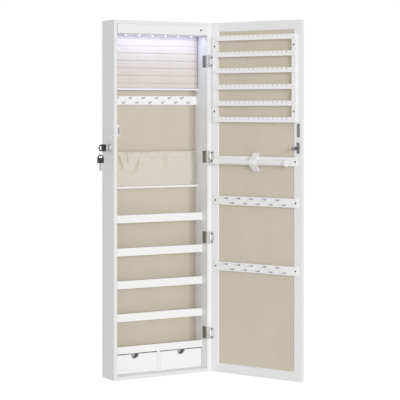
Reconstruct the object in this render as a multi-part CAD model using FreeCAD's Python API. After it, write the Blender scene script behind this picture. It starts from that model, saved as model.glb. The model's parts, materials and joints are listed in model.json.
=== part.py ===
"""Jewelry mirror cabinet: a shallow wall cabinet with a lockable mirror door.

Frame: millimetres, +X to the right, +Y towards the wall, +Z up.
Origin: bottom centre of the cabinet's back face, the face that lies on the wall.
The door is drawn closed and then swung to its rest angle about the hinge pins.
"""
import FreeCAD
import Part
import math
import os

from FreeCAD import Placement, Rotation, Vector

# ---------------------------------------------------------------- driving dimensions
WIDTH = 370.0
HEIGHT = 1200.0
DEPTH = 88.0             # cabinet without its door
BOARD = 12.0             # side, top and bottom panels
BACK = 3.0               # back panel
LINING = 2.0             # fabric-covered lining board in the cabinet
EDGE = 0.6               # eased edge of every painted board
CLEAR = 0.03             # screw and dowel holes over their screws and dowels, on the radius

GAP = 4.0                # door to cabinet, when closed
DOOR_WIDTH = 367.0
DOOR_THICK = 14.0
DOOR_REVEAL = 1.0        # door shorter than the cabinet, at the top and at the bottom
FRAME_WIDTH = 32.5       # door stiles and rails
FRAME_BEVEL = 2.5
GROOVE = 6.0             # how far the mirror and boards reach into the door frame
GLASS_BEHIND = 2.0       # mirror's face, behind the frame's outer face
GLASS = 3.0
BACKING = 3.0            # hardboard behind the mirror
DOOR_LINING = 2.7        # fabric-covered board on the door's inside
GROOVE_SPARE = 0.1
LINING_BEHIND = 3.0      # door lining's face, behind the frame's inner face
REST_OPEN = 114.8        # degrees that the door stands open at rest

# ---------------------------------------------------------------- planes worked out from them
HALF = WIDTH / 2
INNER = HALF - BOARD                 # inner faces of the side panels, at +X and -X
FRONT = -DEPTH                       # front edges of the cabinet
LINING_FRONT = -BACK - LINING        # face of the lining
TOP_UNDERSIDE = HEIGHT - BOARD
DOOR_IN = FRONT - GAP                # door's inner face, closed
DOOR_OUT = DOOR_IN - DOOR_THICK      # door's outer face, closed
DOOR_HALF = DOOR_WIDTH / 2
DOOR_LOW = DOOR_REVEAL
DOOR_HIGH = HEIGHT - DOOR_REVEAL
OPENING_HALF = DOOR_HALF - FRAME_WIDTH
OPENING_LOW = DOOR_LOW + FRAME_WIDTH
OPENING_HIGH = DOOR_HIGH - FRAME_WIDTH

# ---------------------------------------------------------------- hinges
HINGE_HEIGHTS = (133.0, 461.0, 739.0, 1067.0)
HINGE_TALL = 41.0
LEAF = 1.2
LEAF_DEEP = 31.0         # leaf on the side panel, from its front edge
LEAF_DOOR = 15.4         # leaf on the door, from the pin
LEAF_CORNER = 2.5
KNUCKLE = 1.9
PIN = 1.0
PIN_RUNNING = 0.05
KNUCKLE_SHARE = 13.0     # height of each of the cabinet leaf's two knuckles
KNUCKLE_GAP = 0.8
KNUCKLE_ROOM = 0.25      # from a knuckle to the other leaf, on the radius
PIN_TIGHT = 0.02         # cabinet knuckles over the pin, on the radius
PIN_PROUD = 0.4          # pin beyond the knuckles, at each end
PIVOT = Vector(HALF - 1.3, FRONT - GAP / 2, 0)

# ---------------------------------------------------------------- screws
HEAD = 3.4
HEAD_DEEP = 1.6
SHANK = 1.6
RECESS = 0.8             # width of the cross recess
SCREW_POINT = 2.0
CABINET_SCREW_APART = 30.0
DOOR_SCREW_APART = 27.6
HINGE_SCREW_FROM_EDGE = 7.0
HINGE_SCREW_LONG = 10.0
CATCH_SCREW_LONG = 11.0
HANGER_SCREW_LONG = 13.0
FITTING_SCREW_LONG = 15.0
RACK_SCREW_LONG = 22.0

# ---------------------------------------------------------------- top of the cabinet and its light
HEADER_TALL = 32.0
HEADER_LOW = TOP_UNDERSIDE - HEADER_TALL
HEADER_FRONT = FRONT + 1.0           # a shade behind the side panels' edges
HEADER_REAR = HEADER_FRONT + BOARD
SENSOR_X = 148.0
SENSOR_Z = 1173.0
SENSOR = 3.2
SENSOR_DOME = 0.35       # dome's height over its radius
LIGHT_HALF = 165.0
LIGHT_DEEP = 34.0
LIGHT_LOW = HEADER_LOW - 2.5
LIGHT_WALL = 1.8
LIGHT_PLATE = 2.0        # cover plate under the tray
LIGHT_CORNER = 2.0
LAMP_Y = FRONT + 29.0
LAMP = 3.4
LAMP_PITCH = 50.0
LAMP_COUNT = 6
LAMP_ROOM = 0.2
BOARD_HALF = 7.0         # circuit board, front to back
BOARD_LIFT = 3.5         # circuit board over the cover's face
BOARD_THICK = 1.6
CELL = 5.25              # AAA cell
CELL_LONG = 44.5
CELL_COUNT = 3
CELL_APART = 3.0
CELL_LIFT = 17.0
BUTTON = 1.9
BUTTON_LONG = 1.0
RAIL_DEEP = 15.0         # hanging rail behind the light
RAIL_TALL = 30.0

# ---------------------------------------------------------------- keyhole hangers in the back
HANGER_X = 140.0
HANGER_Z = 1168.0
HANGER_LONG = 44.0
HANGER_TALL = 34.0
HANGER_UP = 3.0          # plate's middle over the entry hole
HANGER_THICK = 1.5
HANGER_CORNER = 3.0
HANGER_SPARE = 0.1
HEAD_POCKET_ROOM = 2.5   # pocket round the entry hole
KEYHOLE = 4.5            # radius of the entry hole
KEYHOLE_SLOT = 2.4       # half width of the slot above it
KEYHOLE_RISE = 9.0
HEAD_POCKET_DEEP = 11.0
HANGER_SCREW_OUT = 17.0

# ---------------------------------------------------------------- ring cushion, hooks and pocket
RING_SHELF_LOW = 968.0
RING_SHELF_THICK = 6.0
RING_SHELF_FRONT = FRONT + 62.0
ROLL_PITCH = 25.4
ROLL_SLOTS = 7
ROLL_FIRST_SLOT = 991.0
ROLL_FRONT = FRONT + 64.0
ROLL_SLOT = FRONT + 74.0
CUSHION_CLEAR = 0.3

HOOK_RAIL_THICK = 6.0
HOOK_RAIL_TALL = 30.0
CABINET_HOOK_RAIL_Z = 932.5
CABINET_HOOKS = 12
CABINET_HOOK_PITCH = 25.0
HOOK_STAGGER = 8.0
HOOK_WIRE = 1.3
HOOK_BASE = 3.6
HOOK_BASE_THICK = 1.0
HOOK_REACH = 13.5
HOOK_BEND = 2.5
HOOK_TIP = 1.5
HOOK_BALL = 1.755        # radius of the ball on the tip
HOOK_SHANK = 4.0
HOOK_HOLE_SPARE = 0.2

LEDGE_LOW = 633.5
LEDGE_THICK = 7.0
LEDGE_FRONT = FRONT + 70.0
POCKET_HIGH = 760.0
POCKET_CLOTH = 1.6
POCKET_HALF = INNER - 0.5
POCKET_PLEATS = 9
POCKET_FOOT_FOLD = 0.5   # pleats' depth at the foot
POCKET_MORE_FOLD = 2.0   # and how much deeper they get at the hem
POCKET_BULGE = 5.0
POCKET_LEAN = 1.5        # how far the hem leans back
POCKET_BEHIND = 2.5      # foot, behind the ledge's front edge

# ---------------------------------------------------------------- shelves and drawers
SHELF_LOWS = (188.0, 298.5, 408.5, 519.5)
SHELF_THICK = 6.0
FRONT_RAIL_Y = FRONT + 38.0
FRONT_RAIL_THICK = 6.0
FRONT_RAIL_TALL = 26.5
LOWEST_RAIL_TALL = 24.0
DRAWER_TOP_LOW = 80.0
DIVIDER = 9.5
DIVIDER_X = 4.5
DRAWER_FRONT_Y = FRONT + 40.0
DRAWER_FRONT_THICK = 8.0
DRAWER_HIGH = 76.5
DRAWER_CLEAR = 0.8
DRAWER_BEHIND = 1.0      # room behind a pushed-in drawer
DRAWER_FLOAT = 0.3
DRAWER_SIDE = 5.0
DRAWER_FLOOR = 3.0
DRAWER_SIDE_TALL = 60.0
NOTCH = 15.0

# ---------------------------------------------------------------- catch and lock
CATCH_Z = 831.0
CATCH_TALL = 40.0
CATCH_BODY_TALL = 26.0
CATCH_BODY = 9.5
CATCH_FLANGE = 4.0
CATCH_DEEP = 15.0
CATCH_PROUD = 2.1
CATCH_CORNER = 2.0
CATCH_EASE = 0.9
MAGNET_TALL = 23.0
MAGNET_WIDE = 5.0
MAGNET_DEEP = 10.0
CATCH_SCREW_OUT = 16.5
STRIKE_X = -170.5
STRIKE_Z = CATCH_Z + 1.3
STRIKE_TALL = 46.0
STRIKE_WIDE = 10.0
STRIKE_THICK = 1.5
STRIKE_CORNER = 4.5
STRIKE_SCREW_OUT = 17.5

LOCK_Z = 774.0
LOCK_Y = FRONT + 26.6
COLLAR = 11.5
COLLAR_PROUD = 6.0
COLLAR_EASE = 2.6
BARREL = 9.0
BARREL_END = -INNER + 2.8            # X of the barrel's inner end
NUT_ACROSS = 11.0                    # centre to flat
NUT_THICK = 2.4
PLUG = 6.0
PLUG_RUNNING = 0.05
PLUG_PROUD = 0.3                     # plug beyond the collar and the barrel
KEYWAY_ROOM = 0.1
CAM_THICK = 1.6
CAM_WIDE = 5.5
CAM_HUB = 7.5
CAM_PIN_OUT = 9.0
CAM_PIN = 2.5
CAM_PIN_LONG = 5.5
CAM_SCREW = 2.0
CAM_SCREW_LONG = 6.5
CAM_SCREW_HEAD = 4.0
CAM_SCREW_HEAD_THICK = 1.6
CAM_SCREW_HEAD_EASE = 0.8
CAM_SCREW_SLOT = (5.2, 1.0, 0.6)     # length, width and depth

HOOK_FOOT_TALL = 37.0
HOOK_FOOT_WIDE = 10.5
HOOK_FOOT_THICK = 1.6
HOOK_FOOT_CORNER = 3.0
HOOK_TONGUE = 1.6
HOOK_TONGUE_X = -HALF + 19.4         # tongue's face on the lock's side, door closed
HOOK_TONGUE_LONG = 34.0
HOOK_TONGUE_TALL = 11.0
HOOK_TONGUE_DOWN = 1.0               # tongue's middle under the lock's axis
HOOK_TONGUE_CORNER = 2.5
HOOK_NOTCH = 3.3
HOOK_SCREW_OUT = 13.0

# ---------------------------------------------------------------- keys
BOW_FROM_PANEL = 15.5
BOW_LONG = 29.0
BOW_HALF = 12.0
BOW_THICK = 2.6
BOW_EASE = 1.0
SLOT_FROM_TIP = 8.0
SLOT_LONG = 13.0
SLOT_WIDE = 6.0
SLOT_CORNER = 1.5
BLADE_LONG = 24.0
BLADE_HALF = 3.9
BLADE_THICK = 1.9
BLADE_POINT = 2.0
GROOVE_HALF = 1.0        # groove along one face of the blade
GROOVE_DEEP = 0.5
GROOVE_FROM_BOW = 4.0
TEETH = 4
TOOTH_PITCH = 3.4
TOOTH_HALF = 1.3
TOOTH_FROM_BOW = 8.0
RING = 11.55             # ring radius, to the middle of its wire
RING_WIRE = 0.9
RING_SLACK = 0.5

# ---------------------------------------------------------------- fittings on the door
RACK_HIGH = 1153.0
RACK_LOW = 859.0
UPRIGHT_IN = 151.0
UPRIGHT_OUT = 168.0
UPRIGHT_DEEP = 12.0
BAR_THICK = 3.2
BAR_TALL = 17.0
BAR_PITCH = 55.4
BAR_COUNT = 6
BAR_HALF = 165.0
SLOT_COUNT = 15
SLOT_PITCH = 18.7
SLOT_OPEN = 3.6
SLOT_DEEP = 8.0
SLOTS_X = -2.3           # middle of a bar's row of slots

STRIP_Z = 728.5
STRIP_HALF = 167.0
STRIP_THICK = 6.0
STRIP_TALL = 30.0
STRIP_SCREW_X = 161.0
STRIP_ROOM = 0.2         # from the strip to the bracket over it
BAR_Z = 724.0
BAR_OUT = 21.0           # middle of the bracelet bar, from the door's inner face
BAR_ROUND = 7.0
BAR_FROM = -140.0        # lock side end
BAR_TO = 154.0           # hinge side end
KNOB_STEPS = ((0.0, 9.5), (1.5, 12.0), (7.0, 12.0), (12.0, 10.6), (17.0, 9.0), (23.0, 8.0),
              (26.0, 7.0), (29.0, 7.0), (29.5, 8.4), (31.5, 8.4), (32.0, 7.0))
BRACKET_X = -3.5
BRACKET_HALF = 11.7
BRACKET_RING = 10.0
BRACKET_FOOT = 31.0      # feet above and below the bar
BRACKET_LEG = 7.0
BRACKET_FOOT_DEEP = 4.0
BRACKET_NOSE = (8.5, 5.5)            # out from the bar's middle, and half height

DOOR_RAIL_HEIGHTS = (366.4, 591.5)
DOOR_RAIL_X = -1.5       # middle of each hook rail
DOOR_RAIL_HALF = 167.0
DOOR_RAIL_SCREW_X = 160.7            # from the rail's middle
DOOR_HOOKS = 10
DOOR_HOOKS_X = -4.5
DOOR_HOOK_PITCH = 25.9

DOWEL = 4.0
DOWEL_LONG = 30.0
DOWEL_IN_SIDE = 8.0
DOWEL_END_ROOM = 0.2
DOWEL_YS = (FRONT + 20.0, FRONT + 62.0)

X_AXIS = Vector(1, 0, 0)
Y_AXIS = Vector(0, 1, 0)
Z_AXIS = Vector(0, 0, 1)


# ---------------------------------------------------------------- tools for shapes
def block(x_from, x_to, y_from, y_to, z_from, z_to):
    """A box between two corners."""
    size = (x_to - x_from, y_to - y_from, z_to - z_from)
    return Part.makeBox(*size, Vector(x_from, y_from, z_from))


def is_along(edge, axis):
    """Is a straight edge parallel to an axis?"""
    run = edge.lastVertex().Point - edge.firstVertex().Point
    return run.cross(axis).Length < 1e-6


def eased(shape, *axes, radius=EDGE):
    """Round a board's edges: those along the axes given, or all of them."""
    edges = [e for e in shape.Edges if not axes or any(is_along(e, a) for a in axes)]
    return shape.makeFillet(radius, edges)


def joined(shapes):
    """One solid from shapes that meet."""
    return shapes[0].multiFuse(shapes[1:]).removeSplitter()


def placed(shape, at, direction):
    """A copy of a shape drawn along -Z at the origin, moved to a point and pointing in a direction."""
    copy = shape.copy()
    copy.Placement = Placement(at, Rotation(Vector(0, 0, -1), direction))
    return copy


def swung(shape):
    """A door piece, drawn closed, at the door's rest angle."""
    copy = shape.copy()
    copy.rotate(PIVOT, Z_AXIS, REST_OPEN)
    return copy


def flat(points, thickness):
    """A plate from an outline, extruded by a vector."""
    wire = Part.makePolygon(points + points[:1])
    return Part.Face(wire).extrude(thickness)


def spread(count, pitch):
    """Evenly pitched places about zero."""
    return [(n - (count - 1) / 2) * pitch for n in range(count)]


# ---------------------------------------------------------------- screws
def screw(length):
    """Countersunk wood screw with a cross recess, head face at the origin, pointing down."""
    head = Part.makeCone(SHANK, HEAD, HEAD_DEEP, Vector(0, 0, -HEAD_DEEP))
    straight = length - HEAD_DEEP - SCREW_POINT
    shank = Part.makeCylinder(SHANK, straight, Vector(0, 0, SCREW_POINT - length))
    tip = Part.makeCone(0.3, SHANK, SCREW_POINT, Vector(0, 0, -length))
    body = joined([head, shank, tip])
    for wide, deep in ((HEAD, RECESS), (RECESS, HEAD)):
        body = body.cut(block(-wide / 2, wide / 2, -deep / 2, deep / 2, -1.0, 1.0))
    return body


def screw_hole(length):
    """The countersunk hole that a screw of this length sits in."""
    head = Part.makeCone(SHANK + CLEAR, HEAD + CLEAR, HEAD_DEEP, Vector(0, 0, -HEAD_DEEP))
    shank = Part.makeCylinder(SHANK + CLEAR, length + 0.5, Vector(0, 0, -length - 0.5))
    return head.fuse(shank)


def screws_at(sites):
    """Screws for sites of (point, direction, length)."""
    return [placed(screw(length), at, way) for at, way, length in sites]


def drilled(shape, sites):
    """A shape with the holes for those screws that reach it."""
    for at, way, length in sites:
        shape = shape.cut(placed(screw_hole(length), at, way))
    return shape


def hinge_cabinet_screws():
    """Two screws through each leaf into the right side panel."""
    x = INNER - LEAF
    y = FRONT + LEAF_DEEP / 2 + 1
    rise = CABINET_SCREW_APART / 2
    places = [(z, up) for z in HINGE_HEIGHTS for up in (-rise, rise)]
    return [(Vector(x, y, z + up), X_AXIS, HINGE_SCREW_LONG) for z, up in places]


def hinge_door_screws():
    """Two screws through each leaf into the door's hinge stile."""
    x = HALF - HINGE_SCREW_FROM_EDGE
    y = DOOR_IN + LEAF
    rise = DOOR_SCREW_APART / 2
    places = [(z, up) for z in HINGE_HEIGHTS for up in (-rise, rise)]
    return [(Vector(x, y, z + up), -Y_AXIS, HINGE_SCREW_LONG) for z, up in places]


def catch_screws():
    """Two screws through the catch into the left side panel."""
    x = -INNER + CATCH_FLANGE
    y = FRONT - CATCH_PROUD + CATCH_DEEP / 2
    heights = (CATCH_Z - CATCH_SCREW_OUT, CATCH_Z + CATCH_SCREW_OUT)
    return [(Vector(x, y, z), -X_AXIS, CATCH_SCREW_LONG) for z in heights]


def hanger_screws():
    """Two screws through each hanger plate into the hanging rail."""
    xs = [side * HANGER_X + out for side in (-1, 1) for out in (-HANGER_SCREW_OUT, HANGER_SCREW_OUT)]
    return [(Vector(x, 0, HANGER_Z), -Y_AXIS, HANGER_SCREW_LONG) for x in xs]


def door_fitting_screws():
    """Screws of the rack, the bracelet strip, the hook rails, the strike plate and the lock hook."""
    sites = []
    upright_x = (UPRIGHT_IN + UPRIGHT_OUT) / 2
    between = BAR_TALL / 2 + BAR_PITCH / 2
    for side in (-1, 1):
        for z in (RACK_HIGH - between, RACK_LOW + between):
            at = Vector(side * upright_x, DOOR_IN + UPRIGHT_DEEP, z)
            sites.append((at, -Y_AXIS, RACK_SCREW_LONG))
        at = Vector(side * STRIP_SCREW_X, DOOR_IN + STRIP_THICK, STRIP_Z)
        sites.append((at, -Y_AXIS, FITTING_SCREW_LONG))
        for z in DOOR_RAIL_HEIGHTS:
            at = Vector(DOOR_RAIL_X + side * DOOR_RAIL_SCREW_X, DOOR_IN + HOOK_RAIL_THICK, z)
            sites.append((at, -Y_AXIS, FITTING_SCREW_LONG))
        at = Vector(STRIKE_X, DOOR_IN + STRIKE_THICK, STRIKE_Z + side * STRIKE_SCREW_OUT)
        sites.append((at, -Y_AXIS, HINGE_SCREW_LONG))
        at = Vector(hook_foot_x(), DOOR_IN + HOOK_FOOT_THICK, LOCK_Z + side * HOOK_SCREW_OUT)
        sites.append((at, -Y_AXIS, HINGE_SCREW_LONG))
    return sites


def hook_foot_x():
    """Middle of the lock hook's foot."""
    return HOOK_TONGUE_X + HOOK_TONGUE - HOOK_FOOT_WIDE / 2


# ---------------------------------------------------------------- cabinet box
def dowel_sites():
    """Left ends of the dowels that hold the top and bottom panels in the sides."""
    half = DOWEL_LONG / 2
    heights = (BOARD / 2, HEIGHT - BOARD / 2)
    return [
        Vector(side * (INNER - half + DOWEL_IN_SIDE) - half, y, z)
        for side in (-1, 1)
        for y in DOWEL_YS
        for z in heights
    ]


def doweled(shape):
    """A panel with its dowel holes."""
    for at in dowel_sites():
        start = at - X_AXIS * DOWEL_END_ROOM
        long = DOWEL_LONG + 2 * DOWEL_END_ROOM
        shape = shape.cut(Part.makeCylinder(DOWEL + CLEAR, long, start, X_AXIS))
    return shape


def dowels():
    """Round wooden dowels."""
    return [Part.makeCylinder(DOWEL, DOWEL_LONG, at, X_AXIS) for at in dowel_sites()]


def side_panel_right():
    """Right side, with the hinge screws' holes."""
    board = eased(block(INNER, HALF, FRONT, -BACK, 0, HEIGHT))
    return drilled(doweled(board), hinge_cabinet_screws())


def side_panel_left():
    """Left side, with the lock's hole and the catch's screw holes."""
    board = eased(block(-HALF, -INNER, FRONT, -BACK, 0, HEIGHT))
    hole = Part.makeCylinder(BARREL + CLEAR, BOARD + 2, Vector(-HALF - 1, LOCK_Y, LOCK_Z), X_AXIS)
    return drilled(doweled(board).cut(hole), catch_screws())


def end_panel(low):
    """Top or bottom panel, between the sides."""
    board = eased(block(-INNER, INNER, FRONT, -BACK, low, low + BOARD), X_AXIS)
    return doweled(board)


def hanger_pocket(side):
    """Opening in the back behind a keyhole, for the wall screw's head."""
    x = side * HANGER_X
    half = KEYHOLE + HEAD_POCKET_ROOM
    return block(x - half, x + half, -BACK - 1, -HANGER_THICK,
                 HANGER_Z - half, HANGER_Z + KEYHOLE_RISE + half)


def hanger_groove(side):
    """Groove across the hanging rail behind a keyhole, over the rail's whole height."""
    x = side * HANGER_X
    half = KEYHOLE + HEAD_POCKET_ROOM
    return block(x - half, x + half, -HEAD_POCKET_DEEP, -BACK + 1,
                 TOP_UNDERSIDE - RAIL_TALL - 1, TOP_UNDERSIDE + 1)


def hanger_recess(side, spare=0.0):
    """The plate's own space, flush with the back."""
    x = side * HANGER_X
    return block(
        x - HANGER_LONG / 2 - spare, x + HANGER_LONG / 2 + spare, -HANGER_THICK, 0,
        HANGER_Z + HANGER_UP - HANGER_TALL / 2 - spare, HANGER_Z + HANGER_UP + HANGER_TALL / 2 + spare,
    )


def back_panel():
    """Thin back over the whole cabinet, with the hangers' recesses."""
    board = block(-HALF, HALF, -BACK, 0, 0, HEIGHT)
    for side in (-1, 1):
        board = board.cut(hanger_recess(side, HANGER_SPARE)).cut(hanger_pocket(side))
    return drilled(board, hanger_screws())


def hanging_rail():
    """Batten behind the back's top edge that carries the hangers."""
    low = TOP_UNDERSIDE - RAIL_TALL
    rail = eased(block(-INNER, INNER, -BACK - RAIL_DEEP, -BACK, low, TOP_UNDERSIDE), X_AXIS)
    for side in (-1, 1):
        rail = rail.cut(hanger_groove(side))
    return drilled(rail, hanger_screws())


def hanger_plates():
    """Two steel plates with a keyhole each."""
    plates = []
    for side in (-1, 1):
        x = side * HANGER_X
        through = HANGER_THICK + 2
        entry = Part.makeCylinder(KEYHOLE, through, Vector(x, 1, HANGER_Z), -Y_AXIS)
        top = Part.makeCylinder(KEYHOLE_SLOT, through, Vector(x, 1, HANGER_Z + KEYHOLE_RISE), -Y_AXIS)
        slot = block(x - KEYHOLE_SLOT, x + KEYHOLE_SLOT, -HANGER_THICK - 1, 1,
                     HANGER_Z, HANGER_Z + KEYHOLE_RISE)
        plate = eased(hanger_recess(side), Y_AXIS, radius=HANGER_CORNER).cut(entry).cut(top).cut(slot)
        plates.append(drilled(plate, hanger_screws()))
    return plates


def back_lining():
    """Fabric-covered board that lines the back."""
    return block(-INNER, INNER, LINING_FRONT, -BACK, BOARD, TOP_UNDERSIDE - RAIL_TALL)


def header_board():
    """Board across the top of the opening, with the sensor's hole."""
    board = block(-INNER, INNER, HEADER_FRONT, HEADER_REAR, HEADER_LOW, TOP_UNDERSIDE)
    start = Vector(SENSOR_X, HEADER_FRONT - 1, SENSOR_Z)
    return eased(board, X_AXIS).cut(Part.makeCylinder(SENSOR + CLEAR, BOARD + 2, start, Y_AXIS))


# ---------------------------------------------------------------- light
def light_sensor():
    """Domed sensor in the header."""
    at = Vector(SENSOR_X, HEADER_FRONT, SENSOR_Z)
    body = Part.makeCylinder(SENSOR, BOARD, at, Y_AXIS)
    flatter = FreeCAD.Matrix()
    flatter.scale(1, SENSOR_DOME, 1)
    dome = Part.makeSphere(SENSOR).transformGeometry(flatter)
    dome.translate(at)
    return body.fuse(dome).removeSplitter()


def light_housing():
    """Tray under the top panel, open below."""
    y_to = HEADER_REAR + LIGHT_DEEP
    low = LIGHT_LOW + LIGHT_PLATE
    outer = block(-LIGHT_HALF, LIGHT_HALF, HEADER_REAR, y_to, low, TOP_UNDERSIDE)
    wall = LIGHT_WALL
    inner = block(-LIGHT_HALF + wall, LIGHT_HALF - wall, HEADER_REAR + wall, y_to - wall, low - 1,
                  TOP_UNDERSIDE - wall)
    return eased(outer, Z_AXIS, radius=LIGHT_CORNER).cut(inner)


def light_cover():
    """Plate that closes the tray, with a hole for each lamp."""
    plate = block(-LIGHT_HALF, LIGHT_HALF, HEADER_REAR, HEADER_REAR + LIGHT_DEEP, LIGHT_LOW,
                  LIGHT_LOW + LIGHT_PLATE)
    plate = eased(plate, Z_AXIS, radius=LIGHT_CORNER)
    for x in spread(LAMP_COUNT, LAMP_PITCH):
        start = Vector(x, LAMP_Y, LIGHT_LOW - 1)
        plate = plate.cut(Part.makeCylinder(LAMP + LAMP_ROOM, LIGHT_PLATE + 2, start, Z_AXIS))
    return plate


def light_board():
    """Circuit board above the lamps."""
    half = LAMP_PITCH * LAMP_COUNT / 2
    low = LIGHT_LOW + BOARD_LIFT
    return block(-half, half, LAMP_Y - BOARD_HALF, LAMP_Y + BOARD_HALF, low, low + BOARD_THICK)


def light_lamps():
    """Domed lamps that look down through the cover."""
    lamps = []
    for x in spread(LAMP_COUNT, LAMP_PITCH):
        at = Vector(x, LAMP_Y, LIGHT_LOW - 0.5)
        stem = Part.makeCylinder(LAMP, BOARD_LIFT + 0.5, at, Z_AXIS)
        lamps.append(stem.fuse(Part.makeSphere(LAMP, at)).removeSplitter())
    return lamps


def cells():
    """AAA cells lying along the tray."""
    z = LIGHT_LOW + CELL_LIFT
    made = []
    for x in spread(CELL_COUNT, CELL_LONG + CELL_APART):
        left = Vector(x - CELL_LONG / 2, LAMP_Y, z)
        body = Part.makeCylinder(CELL, CELL_LONG - BUTTON_LONG, left, X_AXIS)
        start = left + X_AXIS * (CELL_LONG - BUTTON_LONG)
        made.append(body.fuse(Part.makeCylinder(BUTTON, BUTTON_LONG, start, X_AXIS)))
    return made


# ---------------------------------------------------------------- ring cushion
def ring_shelf():
    """Thin shelf that the cushion stands on."""
    board = block(-INNER, INNER, RING_SHELF_FRONT, LINING_FRONT, RING_SHELF_LOW,
                  RING_SHELF_LOW + RING_SHELF_THICK)
    return eased(board, X_AXIS)


def ring_cushion():
    """Foam rolls side by side, with a slot for rings between each two: arcs along X."""
    low = RING_SHELF_LOW + RING_SHELF_THICK + CUSHION_CLEAR
    high = TOP_UNDERSIDE - RAIL_TALL - CUSHION_CLEAR
    slots = [low] + [ROLL_FIRST_SLOT + n * ROLL_PITCH for n in range(ROLL_SLOTS)] + [high]
    x = -INNER + CUSHION_CLEAR
    back = LINING_FRONT - CUSHION_CLEAR
    edges = [Part.LineSegment(Vector(x, back, low), Vector(x, ROLL_SLOT, low)).toShape()]
    for bottom, top in zip(slots, slots[1:]):
        crown = (ROLL_SLOT - ROLL_FRONT) * (top - bottom) / ROLL_PITCH
        middle = Vector(x, ROLL_SLOT - crown, (bottom + top) / 2)
        arc = Part.Arc(Vector(x, ROLL_SLOT, bottom), middle, Vector(x, ROLL_SLOT, top))
        edges.append(arc.toShape())
    edges.append(Part.LineSegment(Vector(x, ROLL_SLOT, high), Vector(x, back, high)).toShape())
    edges.append(Part.LineSegment(Vector(x, back, high), Vector(x, back, low)).toShape())
    face = Part.Face(Part.Wire(edges))
    return face.extrude(X_AXIS * 2 * (INNER - CUSHION_CLEAR))


# ---------------------------------------------------------------- hooks
def hook():
    """Bent wire hook on a round base: base at the origin, reaching down, tip turned to +Y."""
    parts = [
        Part.makeCylinder(HOOK_WIRE, HOOK_SHANK, Vector(0, 0, 0), Z_AXIS),
        Part.makeCylinder(HOOK_BASE, HOOK_BASE_THICK, Vector(0, 0, -HOOK_BASE_THICK), Z_AXIS),
        Part.makeCylinder(HOOK_WIRE, HOOK_REACH, Vector(0, 0, -HOOK_REACH), Z_AXIS),
        Part.makeCylinder(HOOK_WIRE, HOOK_TIP, Vector(0, HOOK_BEND, -HOOK_REACH - HOOK_BEND), Y_AXIS),
        Part.makeSphere(HOOK_BALL, Vector(0, HOOK_BEND + HOOK_TIP, -HOOK_REACH - HOOK_BEND)),
    ]
    section = Part.makeCircle(HOOK_WIRE, Vector(0, 0, -HOOK_REACH), Z_AXIS)
    face = Part.Face(Part.Wire([section]))
    bend = face.revolve(Vector(0, HOOK_BEND, -HOOK_REACH), X_AXIS, 90)
    return joined(parts + [bend])


def hook_sites(count, pitch, middle_x, middle_z, first_up):
    """(x, z) of hooks in two staggered rows, the first of them up or down."""
    rises = (HOOK_STAGGER * first_up, -HOOK_STAGGER * first_up)
    return [(middle_x + x, middle_z + rises[n % 2]) for n, x in enumerate(spread(count, pitch))]


def hooks_facing(sites, y, outward):
    """Hooks at sites on a rail face, reaching to +Y or -Y with their tips up."""
    made = []
    for x, z in sites:
        one = hook()
        one.rotate(Vector(0, 0, 0), X_AXIS, 90)
        if outward < 0:
            one.rotate(Vector(0, 0, 0), Z_AXIS, 180)
        one.translate(Vector(x, y, z))
        made.append(one)
    return made


def hook_rail(x_from, x_to, y_from, middle_z):
    """Painted strip that carries hooks."""
    half = HOOK_RAIL_TALL / 2
    y_to = y_from + HOOK_RAIL_THICK
    return eased(block(x_from, x_to, y_from, y_to, middle_z - half, middle_z + half))


def with_hook_holes(rail, sites, y_face, inward):
    """The rail with the hooks' blind holes."""
    deep = HOOK_SHANK + HOOK_HOLE_SPARE
    for x, z in sites:
        start = Vector(x, y_face, z) - inward
        rail = rail.cut(Part.makeCylinder(HOOK_WIRE + CLEAR, deep + 1, start, inward))
    return rail


# ---------------------------------------------------------------- pocket
def pocket_section(z):
    """One level section of the pocket's cloth: pleats as arcs, bulging at mid height."""
    rise = (z - LEDGE_LOW - LEDGE_THICK) / (POCKET_HIGH - LEDGE_LOW - LEDGE_THICK)
    bulge = POCKET_BULGE * math.sin(math.pi * min(rise * 1.15, 1.0))
    base = LEDGE_FRONT + POCKET_BEHIND - bulge + POCKET_LEAN * rise
    fold = POCKET_FOOT_FOLD + POCKET_MORE_FOLD * rise
    step = 2 * POCKET_HALF / POCKET_PLEATS
    front, rear = [], []
    for n in range(POCKET_PLEATS):
        left = -POCKET_HALF + n * step
        depth = fold * (1.3 - 0.9 * n / POCKET_PLEATS)
        ends = Vector(left, base, z), Vector(left + step, base, z)
        crest = Vector(left + step / 2, base - depth, z)
        shift = Y_AXIS * POCKET_CLOTH
        front.append(Part.Arc(ends[0], crest, ends[1]).toShape())
        rear.append(Part.Arc(ends[1] + shift, crest + shift, ends[0] + shift).toShape())
    shift = Y_AXIS * POCKET_CLOTH
    right = Vector(POCKET_HALF, base, z)
    start = Vector(-POCKET_HALF, base, z)
    close_right = Part.LineSegment(right, right + shift).toShape()
    close_left = Part.LineSegment(start + shift, start).toShape()
    return Part.Wire(front + [close_right] + rear[::-1] + [close_left])


def pocket():
    """Gathered cloth wall that stands on the ledge, open above."""
    low = LEDGE_LOW + LEDGE_THICK + CUSHION_CLEAR
    levels = [low + (POCKET_HIGH - low) * share for share in (0, 0.25, 0.5, 0.75, 1.0)]
    return Part.makeLoft([pocket_section(z) for z in levels], True, False)


def pocket_ledge():
    """Narrow ledge that closes the pocket's foot."""
    board = block(-INNER, INNER, LEDGE_FRONT, LINING_FRONT, LEDGE_LOW, LEDGE_LOW + LEDGE_THICK)
    return eased(board, X_AXIS)


# ---------------------------------------------------------------- shelves
def shelf_board(low):
    """Shelf from its front rail to the lining."""
    return block(-INNER, INNER, FRONT_RAIL_Y + FRONT_RAIL_THICK, LINING_FRONT, low, low + SHELF_THICK)


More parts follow.
